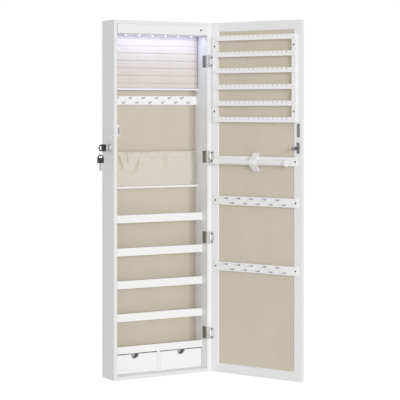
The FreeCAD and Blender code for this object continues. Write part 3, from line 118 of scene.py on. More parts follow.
class Shader:
    """One material's node tree, with short calls for the nodes that the finishes share."""

    def __init__(self, name: str) -> None:
        """Start a material.

        Args:
            name: the material's name.
        """
        self.material = bpy.data.materials.new(name)
        self.material.use_nodes = True
        self.tree = self.material.node_tree
        self.tree.nodes.clear()
        self.output = self.tree.nodes.new("ShaderNodeOutputMaterial")
        self.surface = self.tree.nodes.new("ShaderNodeBsdfPrincipled")
        self.join(self.surface.outputs["BSDF"], self.output.inputs["Surface"])

    def join(self, source: Socket, target: Socket) -> None:
        """Link two sockets."""
        self.tree.links.new(source, target)

    def set(self, **values: float | Colour | Socket) -> None:
        """Set or link sockets of the main shader.

        Args:
            values: socket names in snake case, with a number, a colour or a socket to link.
        """
        for name, value in values.items():
            label = name.replace("_", " ").title().replace("Ior", "IOR")
            target = self.surface.inputs[label]
            if isinstance(value, bpy.types.NodeSocket):
                self.join(value, target)
            else:
                target.default_value = (*value, 1.0) if isinstance(value, tuple) else value

    def place(self, pattern: Pattern = Pattern.OBJECT, stretch: Triple = (1, 1, 1),
              turn: Triple = (0, 0, 0)) -> Socket:
        """Coordinates that a texture reads.

        Args:
            pattern: the piece's own frame, or the cloth's own length and width.
            stretch: scale along each axis.
            turn: rotation in radians about each axis.

        Returns:
            The vector socket.
        """
        coordinates = self.tree.nodes.new("ShaderNodeTexCoord")
        mapping = self.tree.nodes.new("ShaderNodeMapping")
        mapping.inputs["Scale"].default_value = stretch
        mapping.inputs["Rotation"].default_value = turn
        self.join(coordinates.outputs[pattern.value], mapping.inputs["Vector"])
        return mapping.outputs["Vector"]

    def noise(self, at: Socket, scale: float, detail: float, roughness: float = 0.5) -> Socket:
        """Cloudy noise from 0 to 1.

        Args:
            at: the coordinates.
            scale: clouds per unit of the coordinates.
            detail: octaves.
            roughness: weight of the finer octaves.

        Returns:
            The factor socket.
        """
        node = self.tree.nodes.new("ShaderNodeTexNoise")
        node.inputs["Scale"].default_value = scale
        node.inputs["Detail"].default_value = detail
        node.inputs["Roughness"].default_value = roughness
        self.join(at, node.inputs["Vector"])
        return node.outputs["Fac"]

    def cells(self, at: Socket, scale: float) -> Socket:
        """Distance to scattered points, for grain and pits.

        Args:
            at: the coordinates.
            scale: points per unit.

        Returns:
            The distance socket.
        """
        node = self.tree.nodes.new("ShaderNodeTexVoronoi")
        node.inputs["Scale"].default_value = scale
        self.join(at, node.inputs["Vector"])
        return node.outputs["Distance"]

    def bands(self, at: Socket, scale: float, axis: str, distortion: float = 0.0) -> Socket:
        """Regular bands across an axis, for weave and ribs.

        Args:
            at: the coordinates.
            scale: band frequency.
            axis: the axis that the bands follow one another on.
            distortion: how far they waver.

        Returns:
            The factor socket.
        """
        node = self.tree.nodes.new("ShaderNodeTexWave")
        node.bands_direction = axis
        node.inputs["Scale"].default_value = scale
        node.inputs["Distortion"].default_value = distortion
        self.join(at, node.inputs["Vector"])
        return node.outputs["Fac"]

    def remap(self, value: Socket, low: float, high: float, to_low: float,
              to_high: float) -> Socket:
        """Carry one span of values to another, clamped.

        Args:
            value: the input.
            low: input taken to to_low.
            high: input taken to to_high.
            to_low: output at low.
            to_high: output at high.

        Returns:
            The result socket.
        """
        node = self.tree.nodes.new("ShaderNodeMapRange")
        for label, number in zip(("From Min", "From Max", "To Min", "To Max"),
                                 (low, high, to_low, to_high)):
            node.inputs[label].default_value = number
        self.join(value, node.inputs["Value"])
        return node.outputs["Result"]

    def mix(self, share: Socket, first: Colour | Socket, second: Colour | Socket) -> Socket:
        """Blend two colours.

        Args:
            share: how much of the second.
            first: colour or socket.
            second: colour or socket.

        Returns:
            The colour socket.
        """
        node = self.tree.nodes.new("ShaderNodeMix")
        node.data_type = "RGBA"
        self.join(share, node.inputs["Factor"])
        for socket, value in ((node.inputs[6], first), (node.inputs[7], second)):
            if isinstance(value, bpy.types.NodeSocket):
                self.join(value, socket)
            else:
                socket.default_value = (*value, 1.0)
        return node.outputs[2]

    def spread(self, pattern: Socket, first: Colour | Socket, second: Colour | Socket,
               span: Span = (0.3, 0.7), share: float = 1.0) -> Socket:
        """Blend two colours by a pattern.

        Args:
            pattern: the value that chooses between them.
            first: colour or socket up to the span's low end.
            second: colour or socket that comes in across the span.
            span: where the blend starts and ends.
            share: how much of the second shows past the span.

        Returns:
            The colour socket.
        """
        return self.mix(self.remap(pattern, *span, 0.0, share), first, second)

    def math(self, operation: str, first: Socket, second: Socket | float) -> Socket:
        """One arithmetic step.

        Args:
            operation: Blender's name for it.
            first: the left value.
            second: the right value.

        Returns:
            The value socket.
        """
        node = self.tree.nodes.new("ShaderNodeMath")
        node.operation = operation
        self.join(first, node.inputs[0])
        if isinstance(second, bpy.types.NodeSocket):
            self.join(second, node.inputs[1])
        else:
            node.inputs[1].default_value = second
        return node.outputs[0]

    def bump(self, height: Socket, depth: float, strength: float = 1.0,
             under: Socket | None = None) -> Socket:
        """Turn a height into a normal.

        Args:
            height: from 0 to 1.
            depth: what 1 stands for, in metres.
            strength: share of the effect.
            under: a normal to build on.

        Returns:
            The normal socket.
        """
        node = self.tree.nodes.new("ShaderNodeBump")
        node.inputs["Strength"].default_value = strength
        node.inputs["Distance"].default_value = depth
        self.join(height, node.inputs["Height"])
        if under is not None:
            self.join(under, node.inputs["Normal"])
        return node.outputs["Normal"]

    def painted_corner_shade(self, tone: Socket, colour: Colour, span: Span) -> Socket:
        """Painted shade: darken a cloth towards both ends in X, in the corners beside the side
        panels.

        Args:
            tone: the cloth's colour socket.
            colour: its main colour.
            span: distances from the middle at which it starts to darken and is darkest.

        Returns:
            The colour socket.
        """
        off = self.math("ABSOLUTE", self.axis(0), 0.0)
        return self.spread(off, tone, shade(colour, CORNER_SHADE), span, CORNER_SHADE_SHARE)

    def axis(self, index: int) -> Socket:
        """One Object coordinate of the place.

        Args:
            index: 0 for X, 1 for Y, 2 for Z.

        Returns:
            The value socket.
        """
        split = self.tree.nodes.new("ShaderNodeSeparateXYZ")
        self.join(self.place(), split.inputs["Vector"])
        return split.outputs[index]


def shade(colour: Colour, factor: float) -> Colour:
    """A colour times a factor."""
    return tuple(channel * factor for channel in colour)


def sight_rays(tree: bpy.types.NodeTree) -> Socket:
    """Tell the rays that show a thing from those that light others.

    Args:
        tree: the node tree to build in.

    Returns:
        A socket that is 1 for camera, glossy and transmission rays, and 0 for the rest.
    """
    path = tree.nodes.new("ShaderNodeLightPath")
    seen = path.outputs["Is Camera Ray"]
    for ray in ("Is Glossy Ray", "Is Transmission Ray"):
        either = tree.nodes.new("ShaderNodeMath")
        either.operation = "MAXIMUM"
        tree.links.new(seen, either.inputs[0])
        tree.links.new(path.outputs[ray], either.inputs[1])
        seen = either.outputs[0]
    return seen


# ---------------------------------------------------------------- finishes
@dataclass(frozen=True)
class Finish:
    """What every finish has: a name and a main colour in linear light."""

    name: str
    colour: Colour

    def material(self) -> bpy.types.Material:
        """The finish as a material, made once for each name.

        Returns:
            The material.
        """
        known = bpy.data.materials.get(self.name)
        if known is not None:
            return known
        shader = Shader(self.name)
        self.paint(shader)
        return shader.material

    def paint(self, shader: Shader) -> None:
        """Fill in the shader; each kind of finish has its own.

        Args:
            shader: the material to fill in.
        """
        raise NotImplementedError


@dataclass(frozen=True)
class SprayedPaint(Finish):
    """Satin lacquer on fibreboard: a faint orange-peel stipple and cloudy gloss."""

    roughness: float = 0.42
    stipple: float = 0.00005
    clouds_per_m: float = 5.0
    gloss_per_m: float = 38.0
    peel_per_m: float = 420.0
    flecks_per_m: float = 900.0
    fine_per_m: float = 1900.0

    def paint(self, shader: Shader) -> None:
        """Cloudy tone, cloudy gloss, and stipple of two sizes as bump.

        Args:
            shader: the material to fill in.
        """
        at = shader.place()
        clouds = shader.noise(at, self.clouds_per_m, 3.0)
        flecks = shader.noise(at, self.flecks_per_m, 2.0)
        tone = shader.spread(clouds, shade(self.colour, 0.982), self.colour)
        tone = shader.spread(flecks, tone, shade(self.colour, 0.95), (0.62, 0.8), 0.25)
        gloss = shader.remap(shader.noise(at, self.gloss_per_m, 3.0), 0.25, 0.75,
                             self.roughness - 0.05, self.roughness + 0.06)
        peel = shader.bump(shader.noise(at, self.peel_per_m, 2.0), self.stipple)
        fine = shader.bump(shader.noise(at, self.fine_per_m, 1.0), self.stipple * 0.4, under=peel)
        shader.set(base_color=tone, roughness=gloss, normal=fine, specular_ior_level=0.45)


@dataclass(frozen=True)
class RawBoard(Finish):
    """Thin fibreboard back with short fibres pressed flat."""

    along_stretch: Triple = (90, 400, 700)
    across_stretch: Triple = (600, 400, 110)
    across_turn: Triple = (0, 0.6, 0)
    mottle_per_m: float = 9.0
    fibre_step: float = 0.00008

    def paint(self, shader: Shader) -> None:
        """Fibres from stretched noise in two directions, over a mottled ground.

        Args:
            shader: the material to fill in.
        """
        along = shader.noise(shader.place(stretch=self.along_stretch), 1.0, 4.0, 0.65)
        across = shader.noise(shader.place(stretch=self.across_stretch, turn=self.across_turn),
                              1.0, 4.0, 0.65)
        fibres = shader.math("MAXIMUM", along, across)
        mottled = shader.noise(shader.place(), self.mottle_per_m, 4.0)
        ground = shader.spread(mottled, shade(self.colour, 0.93), self.colour)
        tone = shader.spread(fibres, ground, shade(self.colour, 0.78), (0.55, 0.8), 0.5)
        shader.set(base_color=tone, roughness=0.78, specular_ior_level=0.3,
                   normal=shader.bump(fibres, self.fibre_step))


@dataclass(frozen=True)
class Flock(Finish):
    """Short-pile flocked cloth: specks of fibre, brushed clouds in the nap, and sheen.

    It may take painted corner shade, darker towards both ends in X, between the two distances given.
    """

    pile: float = 0.00025
    brushed: float = 0.05
    sheen: float = 0.25
    sheen_tint: Colour = (0.95, 0.92, 0.84)
    # span in X of the painted corner shade; None for none
    end_reach: Span | None = None
    nap_per_m: float = 11.0
    nap_stretch: Triple = (1.0, 1.0, 0.45)
    tufts_per_m: float = 650.0
    fibres_per_m: float = 2600.0

    def paint(self, shader: Shader) -> None:
        """Three sizes of noise for colour: nap, tufts and fibre ends; two for bump; painted corner
        shade where a span is given.

        Args:
            shader: the material to fill in.
        """
        at = shader.place()
        nap = shader.noise(shader.place(stretch=self.nap_stretch), self.nap_per_m, 3.0, 0.55)
        tufts = shader.noise(at, self.tufts_per_m, 2.0, 0.6)
        fibres = shader.noise(at, self.fibres_per_m, 2.0, 0.7)
        tone = shader.spread(nap, shade(self.colour, 1 - self.brushed),
                             shade(self.colour, 1 + self.brushed * 0.5))
        tone = shader.spread(tufts, tone, shade(self.colour, 0.9), share=0.5)
        tone = shader.spread(fibres, tone, shade(self.colour, 1.16), (0.5, 0.75), 0.45)
        # painted shade towards the corners
        if self.end_reach is not None:
            tone = shader.painted_corner_shade(tone, self.colour, self.end_reach)
        low = shader.bump(tufts, self.pile, 0.7)
        shader.set(base_color=tone, roughness=0.93, specular_ior_level=0.12,
                   normal=shader.bump(fibres, self.pile * 0.5, 0.8, low),
                   sheen_weight=self.sheen, sheen_roughness=0.45, sheen_tint=self.sheen_tint)


@dataclass(frozen=True)
class Velour(Finish):
    """Soft knitted velour, its courses following the cloth's own length and width."""

    courses: float = 260.0
    wales_per_course: float = 2.4
    pile_per_m: float = 1500.0
    knit_depth: float = 0.00022
    sheen_tint: Colour = (0.97, 0.94, 0.87)
    # span in X of the painted corner shade
    end_reach: Span = (0.142, 0.160)

    def paint(self, shader: Shader) -> None:
        """Knit courses and wales as crossed bands, softened by pile noise and a rubbed nap, with
        painted shade towards both ends in X.

        Args:
            shader: the material to fill in.
        """
        cloth = shader.place(Pattern.CLOTH)
        rows = shader.bands(cloth, self.courses, "Y", 0.6)
        wales = shader.bands(cloth, self.courses * self.wales_per_course, "X", 0.6)
        knit = shader.math("MULTIPLY", rows, wales)
        pile = shader.noise(shader.place(), self.pile_per_m, 2.0, 0.65)
        rubbed = shader.noise(shader.place(Pattern.CLOTH, (5, 2, 1)), 3.0, 4.0, 0.6)
        tone = shader.spread(rubbed, shade(self.colour, 0.94), shade(self.colour, 1.05))
        tone = shader.spread(pile, tone, shade(self.colour, 0.88), (0.35, 0.75), 0.5)
        # painted shade towards the corners
        tone = shader.painted_corner_shade(tone, self.colour, self.end_reach)
        height = shader.math("ADD", shader.math("MULTIPLY", knit, 0.35), pile)
        shader.set(base_color=tone, roughness=0.9, specular_ior_level=0.15,
                   normal=shader.bump(height, self.knit_depth, 0.7),
                   sheen_weight=0.35, sheen_roughness=0.4, sheen_tint=self.sheen_tint)


@dataclass(frozen=True)
class PlatedSteel(Finish):
    """Stamped and plated steel: drawn lines along one axis, tumble marks and dull patches."""

    roughness: float = 0.34
    drawn: Triple = (1.0, 1.0, 0.06)
    lines_per_m: float = 2600.0
    marks_per_m: float = 900.0
    clouds_per_m: float = 60.0
    line_depth: float = 0.00002

    def paint(self, shader: Shader) -> None:
        """Stretched noise for the drawn lines, cells for tumble marks, clouds for the plating.

        Args:
            shader: the material to fill in.
        """
        lines = shader.noise(shader.place(stretch=self.drawn), self.lines_per_m, 3.0, 0.6)
        marks = shader.cells(shader.place(), self.marks_per_m)
        clouds = shader.noise(shader.place(), self.clouds_per_m, 3.0)
        tone = shader.spread(clouds, shade(self.colour, 0.86), self.colour)
        tone = shader.mix(shader.remap(marks, 0.0, 0.12, 0.35, 0.0), tone, shade(self.colour, 0.6))
        gloss = shader.remap(shader.math("ADD", lines, clouds), 0.6, 1.4, self.roughness - 0.1,
                             self.roughness + 0.12)
        shader.set(base_color=tone, metallic=1.0, roughness=gloss,
                   normal=shader.bump(lines, self.line_depth, 0.6))


@dataclass(frozen=True)
class LeafSteel(PlatedSteel):
    """Plated steel, bright towards the cabinet's front and dark behind a plane across Y: painted
    light and shade; on the lock collar, a painted reflection.
    """

    # the painted dark colour behind the plane
    dull: Colour = (0.285, 0.285, 0.305)
    edge: float = -0.0789
    blend: float = 0.0003
    wear_per_m: float = 160.0

    def paint(self, shader: Shader) -> None:
        """The plating as for other steel, its colour changing at the plane to the painted dark
        colour behind it.

        Args:
            shader: the material to fill in.
        """
        super().paint(shader)
        # painted light in front of the plane, painted dark behind it
        bright = shader.surface.inputs["Base Color"].links[0].from_socket
        wear = shader.noise(shader.place(), self.wear_per_m, 2.0)
        dull = shader.spread(wear, shade(self.dull, 0.85), self.dull)
        plane = (self.edge - self.blend, self.edge + self.blend)
        shader.set(base_color=shader.spread(shader.axis(1), bright, dull, plane))


@dataclass(frozen=True)
class Chrome(Finish):
    """Bright plating with a few hair scratches."""

    scratch_stretch: Triple = (30, 900, 40)
    scratch_turn: Triple = (0.4, 0.2, 0.7)
    scratch_depth: float = 0.000006
    film_per_m: float = 180.0

    def paint(self, shader: Shader) -> None:
        """Thin scratches from strongly stretched noise raise the roughness.

        Args:
            shader: the material to fill in.
        """
        hair = shader.noise(shader.place(stretch=self.scratch_stretch, turn=self.scratch_turn),
                            6.0, 2.0)
        film = shader.noise(shader.place(), self.film_per_m, 3.0)
        shader.set(base_color=shader.spread(film, shade(self.colour, 0.93), self.colour),
                   metallic=1.0, roughness=shader.remap(hair, 0.62, 0.72, 0.09, 0.3),
                   normal=shader.bump(hair, self.scratch_depth, 0.5))


@dataclass(frozen=True)
class MouldedPlastic(Finish):
    """Moulded plastic with a spark-eroded grain and soft flow clouds."""

    roughness: float = 0.3
    grain: float = 0.00002
    grain_per_m: float = 2200.0
    flow_per_m: float = 30.0

    def paint(self, shader: Shader) -> None:
        """Grain from cells, flow clouds in tone and gloss.

        Args:
            shader: the material to fill in.
        """
        at = shader.place()
        grain = shader.cells(at, self.grain_per_m)
        flow = shader.noise(at, self.flow_per_m, 2.0)
        gloss = shader.remap(flow, 0.3, 0.7, self.roughness - 0.04, self.roughness + 0.05)
        shader.set(base_color=shader.spread(flow, shade(self.colour, 0.96), self.colour),
                   roughness=gloss, normal=shader.bump(grain, self.grain, 0.6),
                   specular_ior_level=0.5)


@dataclass(frozen=True)
class Silvering(Finish):
    """Mirror glass, silvered, with a breath of haze."""

    haze_per_m: float = 4.0

    def paint(self, shader: Shader) -> None:
        """A clean mirror whose haze varies a little, its edge slightly green.

        Args:
            shader: the material to fill in.
        """
        haze = shader.noise(shader.place(), self.haze_per_m, 5.0, 0.6)
        tone = shader.spread(haze, shade(self.colour, 0.985), self.colour, (0.2, 0.8))
        shader.set(base_color=tone, metallic=1.0,
                   roughness=shader.remap(haze, 0.45, 0.8, 0.012, 0.035))


@dataclass(frozen=True)
class LitLamp(Finish):
    """Clear dome over a lit lamp, brighter at its tip."""

    strength: float = 1.1
    tip: float = 1.1496
    root: float = 1.1545
    root_colour: Colour = (0.35, 0.33, 0.55)
    root_share: float = 0.25

    def paint(self, shader: Shader) -> None:
        """Glow fades from the tip of the dome to its root.

        Args:
            shader: the material to fill in.
        """
        fade = shader.remap(shader.axis(2), self.tip, self.root, 1.0, self.root_share)
        tone = shader.mix(fade, self.root_colour, self.colour)
        shader.set(base_color=tone, roughness=0.12, emission_color=tone,
                   emission_strength=self.strength)


@dataclass(frozen=True)
class CellWrap(Finish):
    """Shrink-wrapped cells in a row along X, each with a pale band and a bare metal end."""

    pitch: float = 0.0475
    cells_before: float = 10.5
    band_at: Span = (0.70, 0.71)
    end_at: Span = (0.935, 0.94)
    band: Colour = (0.35, 0.36, 0.37)
    bare: Colour = (0.7, 0.7, 0.7)
    worn: Colour = (0.3, 0.3, 0.3)
    scuffs_per_m: float = 500.0

    def paint(self, shader: Shader) -> None:
        """The place along each cell picks the wrap, its band or the bare metal end.

        Args:
            shader: the material to fill in.
        """
        along = shader.math("MULTIPLY", shader.axis(0), 1 / self.pitch)
        along = shader.math("FRACT", shader.math("ADD", along, self.cells_before), 0.0)
        end = shader.remap(along, *self.end_at, 0.0, 1.0)
        scuffs = shader.noise(shader.place(), self.scuffs_per_m, 3.0)
        tone = shader.spread(along, self.colour, self.band, self.band_at)
        tone = shader.spread(scuffs, tone, self.worn, (0.6, 0.8), 0.4)
        shader.set(base_color=shader.mix(end, tone, self.bare), metallic=end, roughness=0.3,
                   normal=shader.bump(scuffs, 0.00001))


@dataclass(frozen=True)
class CircuitBoard(Finish):
    """Solder mask over copper tracks."""

    tracks_scale: float = 300.0
    track_step: float = 0.00004

    def paint(self, shader: Shader) -> None:
        """Bands stand for tracks, seen as a lighter green with a small step.

        Args:
            shader: the material to fill in.
        """
        tracks = shader.bands(shader.place(), self.tracks_scale, "Y", 1.5)
        raised = shader.remap(tracks, 0.75, 0.8, 0.0, 1.0)
        shader.set(base_color=shader.mix(raised, self.colour, shade(self.colour, 1.9)),
                   roughness=0.25, normal=shader.bump(raised, self.track_step))


@dataclass(frozen=True)
class Beech(Finish):
    """Plain beech with its grain along X."""

    grain_per_m: float = 900.0
    rays_per_m: float = 1600.0
    pore_depth: float = 0.00005

    def paint(self, shader: Shader) -> None:
        """Long noise for grain, short dark flecks for rays.

        Args:
            shader: the material to fill in.
        """
        grain = shader.noise(shader.place(stretch=(0.05, 1, 1)), self.grain_per_m, 3.0)
        rays = shader.noise(shader.place(stretch=(0.3, 1, 1)), self.rays_per_m, 1.0)
        tone = shader.spread(grain, shade(self.colour, 0.8), self.colour)
        tone = shader.spread(rays, tone, shade(self.colour, 0.55), (0.66, 0.72), 0.6)
        shader.set(base_color=tone, roughness=0.6, normal=shader.bump(grain, self.pore_depth))


@dataclass(frozen=True)
class CutKey(Finish):
    """Key with a black moulded head over a nickel blade; the head ends at a plane."""

    axis_index: int = 0
    head_end: float = 0.0
    head_below: bool = True
    blade: Colour = (0.80, 0.79, 0.76)
    worn: Colour = (0.05, 0.05, 0.05)
    step: float = 0.0001
    scuffs_per_m: float = 420.0
    milling_per_m: float = 2600.0
    grain_per_m: float = 2400.0

    def paint(self, shader: Shader) -> None:
        """Everything past the plane is blade: colour, metal and gloss change there together.

        Args:
            shader: the material to fill in.
        """
        low, high = (0.0, 1.0) if self.head_below else (1.0, 0.0)
        metal = shader.remap(shader.axis(self.axis_index), self.head_end - self.step,
                             self.head_end + self.step, low, high)
        scuffs = shader.noise(shader.place(), self.scuffs_per_m, 3.0)
        head = shader.spread(scuffs, self.colour, self.worn, (0.55, 0.8), 0.5)
        milled = shader.noise(shader.place(stretch=(1, 1, 0.1)), self.milling_per_m, 2.0)
        blade = shader.spread(milled, shade(self.blade, 0.8), self.blade)
        grain = shader.cells(shader.place(), self.grain_per_m)
        shader.set(base_color=shader.mix(metal, head, blade), metallic=metal,
                   roughness=shader.remap(scuffs, 0.3, 0.8, 0.26, 0.42),
                   normal=shader.bump(grain, 0.00002))


@dataclass(frozen=True)
class Thread(Finish):
    """Twisted sewing thread."""

    twist_scale: float = 700.0
    twist_slant: float = 0.8
    twist_depth: float = 0.00008

    def paint(self, shader: Shader) -> None:
        """Slanted bands for the twist.

        Args:
            shader: the material to fill in.
        """
        twist = shader.bands(shader.place(turn=(0, self.twist_slant, 0)), self.twist_scale, "X")
        shader.set(base_color=shader.mix(twist, shade(self.colour, 0.8), self.colour),
                   roughness=0.7, sheen_weight=0.2, normal=shader.bump(twist, self.twist_depth))


@dataclass(frozen=True)
class StudioFloor(Finish):
    """Pale floor that keeps the object's shadow and is white to the camera elsewhere."""

    lift: float = 0.42

    def paint(self, shader: Shader) -> None:
        """A diffuse floor, with a white glow added for the rays that show it only.

        Args:
            shader: the material to fill in.
        """
        glow = shader.math("MULTIPLY", sight_rays(shader.tree), self.lift)
        shader.set(base_color=self.colour, roughness=0.9, specular_ior_level=0.0,
                   emission_color=(1.0, 1.0, 1.0), emission_strength=glow)


WHITE = SprayedPaint("paint_white", (0.83, 0.83, 0.835))
# Lighter copies of the one white paint, each set for its own part: painted light.
WHITE_LIT_HINGE_SIDE = SprayedPaint("paint_white_lit_hinge_side", (0.895, 0.895, 0.90))
WHITE_LIT_HEADER = SprayedPaint("paint_white_lit_header", (0.865, 0.865, 0.87))
WHITE_LIT_SHELF = SprayedPaint("paint_white_lit_shelf", (0.935, 0.935, 0.935))
WHITE_LIT_DOOR = SprayedPaint("paint_white_lit_door", (0.885, 0.885, 0.89))
WHITE_LIT_HINGE_STILE = SprayedPaint("paint_white_lit_hinge_stile", (0.935, 0.935, 0.94))
WHITE_LIT_RACK = SprayedPaint("paint_white_lit_rack", (0.955, 0.955, 0.955), roughness=0.36)
# A near-black strip standing in for the shadow line at the header's joint: painted shadow.
SEAM_SHADOW = SprayedPaint("paint_seam_shadow", (0.13, 0.13, 0.14), roughness=0.6)
BACK_BOARD = RawBoard("board_back", (0.72, 0.71, 0.69))
HARDBOARD = RawBoard("board_hard", (0.20, 0.11, 0.06))
# The lining and cushion cloths, like the pocket's, darken towards both ends in X: painted corner
# shade.
LINING = Flock("flock_lining", (0.655, 0.605, 0.505), end_reach=(0.140, 0.166))
# A lighter copy of the lining for the door: painted light.
LINING_LIT_DOOR = Flock("flock_lining_lit_door", (0.70, 0.645, 0.535))
# A lighter beige than the lining: painted light from the lamps, on top of the lamp glow that really
# lights it.
CUSHION_CLOTH = Flock("flock_cushion_lit", (0.74, 0.70, 0.63), pile=0.0004, brushed=0.08, sheen=0.4,
                      end_reach=(0.152, 0.169))
POCKET_CLOTH = Velour("velour_pocket", (0.74, 0.70, 0.60))
THREAD = Thread("thread_beige", (0.60, 0.55, 0.44))
MIRROR = Silvering("mirror_silver", (0.93, 0.945, 0.945))
HINGE_STEEL = PlatedSteel("steel_hinge", (0.90, 0.90, 0.90), roughness=0.38)
# The leaf's side part is dark as painted shade, its front flange bright as painted light.
CABINET_LEAF = LeafSteel("steel_hinge_leaf", (0.66, 0.66, 0.66), roughness=0.42)
PIN_STEEL = PlatedSteel("steel_pin", (0.16, 0.16, 0.165), roughness=0.4)
HOOK_STEEL = PlatedSteel("steel_hook", (0.50, 0.50, 0.51), roughness=0.34)
SCREW_STEEL = PlatedSteel("steel_screw", (0.20, 0.20, 0.21), roughness=0.42)
FITTING_STEEL = PlatedSteel("steel_fitting", (0.28, 0.28, 0.285), roughness=0.5)
CHROME = Chrome("chrome_lock", (0.72, 0.73, 0.75))
# The collar's dark half is a painted reflection of the black key head; its bright half is a painted
# highlight.
LOCK_PLATING_AND_REFLECTION = LeafSteel("steel_lock_collar", (0.80, 0.80, 0.81), roughness=0.3,
                         dull=(0.03, 0.03, 0.032), edge=-0.0655, blend=0.0012)
# Chrome made near black on the lock's nut and plug: a painted dark reflection.
CHROME_DARK_REFLECTION = Chrome("chrome_dark_reflection", (0.11, 0.11, 0.115))
WHITE_PLASTIC = MouldedPlastic("plastic_white", (0.92, 0.92, 0.925), roughness=0.3)
LIGHT_PLASTIC = MouldedPlastic("plastic_light_unit", (0.80, 0.80, 0.83), roughness=0.34)
MAGNET = MouldedPlastic("ferrite_magnet", (0.17, 0.16, 0.165), roughness=0.45, grain=0.00004)
SENSOR_LENS = MouldedPlastic("plastic_sensor", (0.012, 0.01, 0.014), roughness=0.08,
                             grain=0.000002)
LAMP = LitLamp("lamp_lit", (0.80, 0.80, 1.0))
CELL = CellWrap("cell_wrap", (0.02, 0.02, 0.022))
BOARD_GREEN = CircuitBoard("circuit_board", (0.01, 0.06, 0.02))
DOWEL = Beech("beech_dowel", (0.56, 0.36, 0.17))
KEY_IN_LOCK = CutKey("key_in_lock", (0.012, 0.012, 0.013), axis_index=0, head_end=-0.2005)
HANGING_KEY = CutKey("key_hanging", (0.012, 0.012, 0.013), axis_index=2, head_end=0.724,
                     head_below=False, blade=(0.46, 0.46, 0.45))
FLOOR = StudioFloor("floor_pale", (0.9, 0.9, 0.9))


# ---------------------------------------------------------------- mesh building
TUBE_SIDE = (0.31, 0.87, 0.38)
TURNED_SIDE = (0.36, 0.48, 0.8)


def placed(name: str, data: bpy.types.ID, at: Triple = (0, 0, 0),
           turn: Triple = (0, 0, 0)) -> bpy.types.Object:
    """An object in the scene.

    Args:
        name: its name.
        data: its mesh, light or camera.
        at: its place.
        turn: its rotation about each axis, in degrees.

    Returns:
        The linked object.
    """
    holder = bpy.data.objects.new(name, data)
    holder.location = at
    holder.rotation_euler = tuple(math.radians(angle) for angle in turn)
    bpy.context.scene.collection.objects.link(holder)
    return holder


def rounded(value: np.ndarray, low: float, high: float) -> np.ndarray:
    """Smooth step from 0 at low to 1 at high: 3t squared minus 2t cubed."""
    t = np.clip((value - low) / (high - low), 0.0, 1.0)
    return t * t * (3.0 - 2.0 * t)


def quads(rows: int, columns: int, close_columns: bool = False) -> np.ndarray:
    """Corner numbers of the quads of a grid stored row by row.

    Args:
        rows: points along the first parameter.
        columns: points along the second.
        close_columns: join the last column to the first.

    Returns:
        An array of four corner numbers for each quad.
    """
    i = np.arange(rows - 1)[:, None]
    j = np.arange(columns if close_columns else columns - 1)[None, :]
    j_next = (j + 1) % columns
    corners = (i * columns + j, (i + 1) * columns + j, (i + 1) * columns + j_next,
               i * columns + j_next)
    return np.stack([np.broadcast_to(c, (i.size, j.size)) for c in corners], -1).reshape(-1, 4)


def mesh_object(name: str, points: np.ndarray, faces: Sequence[Sequence[int]] | np.ndarray,
                uv: np.ndarray | None = None, smooth: bool = True) -> bpy.types.Object:
    """An object at the origin from points and faces.

    Args:
        name: the piece's name.
        points: an array of points.
        faces: corner numbers of each face.
        uv: a pair of numbers for each point, or nothing.
        smooth: smooth shading.

    Returns:
        The linked object.
    """
    mesh = bpy.data.meshes.new(name)
    corner_lists = faces.tolist() if isinstance(faces, np.ndarray) else faces
    mesh.from_pydata(points.reshape(-1, 3).tolist(), [], corner_lists)
    if uv is not None:
        layer = mesh.uv_layers.new(name="cloth")
        corners = np.zeros(len(mesh.loops), np.int32)
        mesh.loops.foreach_get("vertex_index", corners)
        layer.data.foreach_set("uv", uv.reshape(-1, 2)[corners].astype(np.float32).ravel())
    mesh.polygons.foreach_set("use_smooth", np.full(len(mesh.polygons), smooth))
    mesh.validate()
    return placed(name, mesh)


def weld(piece: bpy.types.Object, distance: float = 1e-6) -> None:
    """Merge a new piece's doubled points and point its faces outwards.

    Args:
        piece: the piece.
        distance: points nearer than this become one.
    """
    work = bmesh.new()
    work.from_mesh(piece.data)
    bmesh.ops.remove_doubles(work, verts=work.verts, dist=distance)
    bmesh.ops.recalc_face_normals(work, faces=work.faces)
    work.to_mesh(piece.data)
    work.free()
    piece.data.update()


def tube(name: str, path: np.ndarray, radius: float, sides: int) -> bpy.types.Object:
    """A round tube along a path, closed at both ends.

    The circle stands across the path: its axes are the path's direction crossed with a fixed side
    vector, and that cross product crossed back. The ends shrink to a point.

    Args:
        name: the piece's name.
        path: points along the middle.
        radius: the tube's radius.
        sides: points round the circle.

    Returns:
        The tube.
    """
    path = np.concatenate([path[:1], path, path[-1:]])
    radii = np.full(len(path), radius)
    radii[[0, -1]] = 0.0
    run = np.gradient(path, axis=0)
    run[0], run[-1] = run[1], run[-2]
    run /= np.linalg.norm(run, axis=1, keepdims=True) + 1e-12
    side = np.cross(run, TUBE_SIDE)
    side /= np.linalg.norm(side, axis=1, keepdims=True)
    up = np.cross(run, side)
    turn = np.linspace(0, 2 * np.pi, sides, endpoint=False)
    ring = side[:, None] * np.cos(turn)[:, None] + up[:, None] * np.sin(turn)[:, None]
    points = path[:, None] + ring * radii[:, None, None]
    piece = mesh_object(name, points, quads(len(path), sides, close_columns=True))
    weld(piece)
    return piece


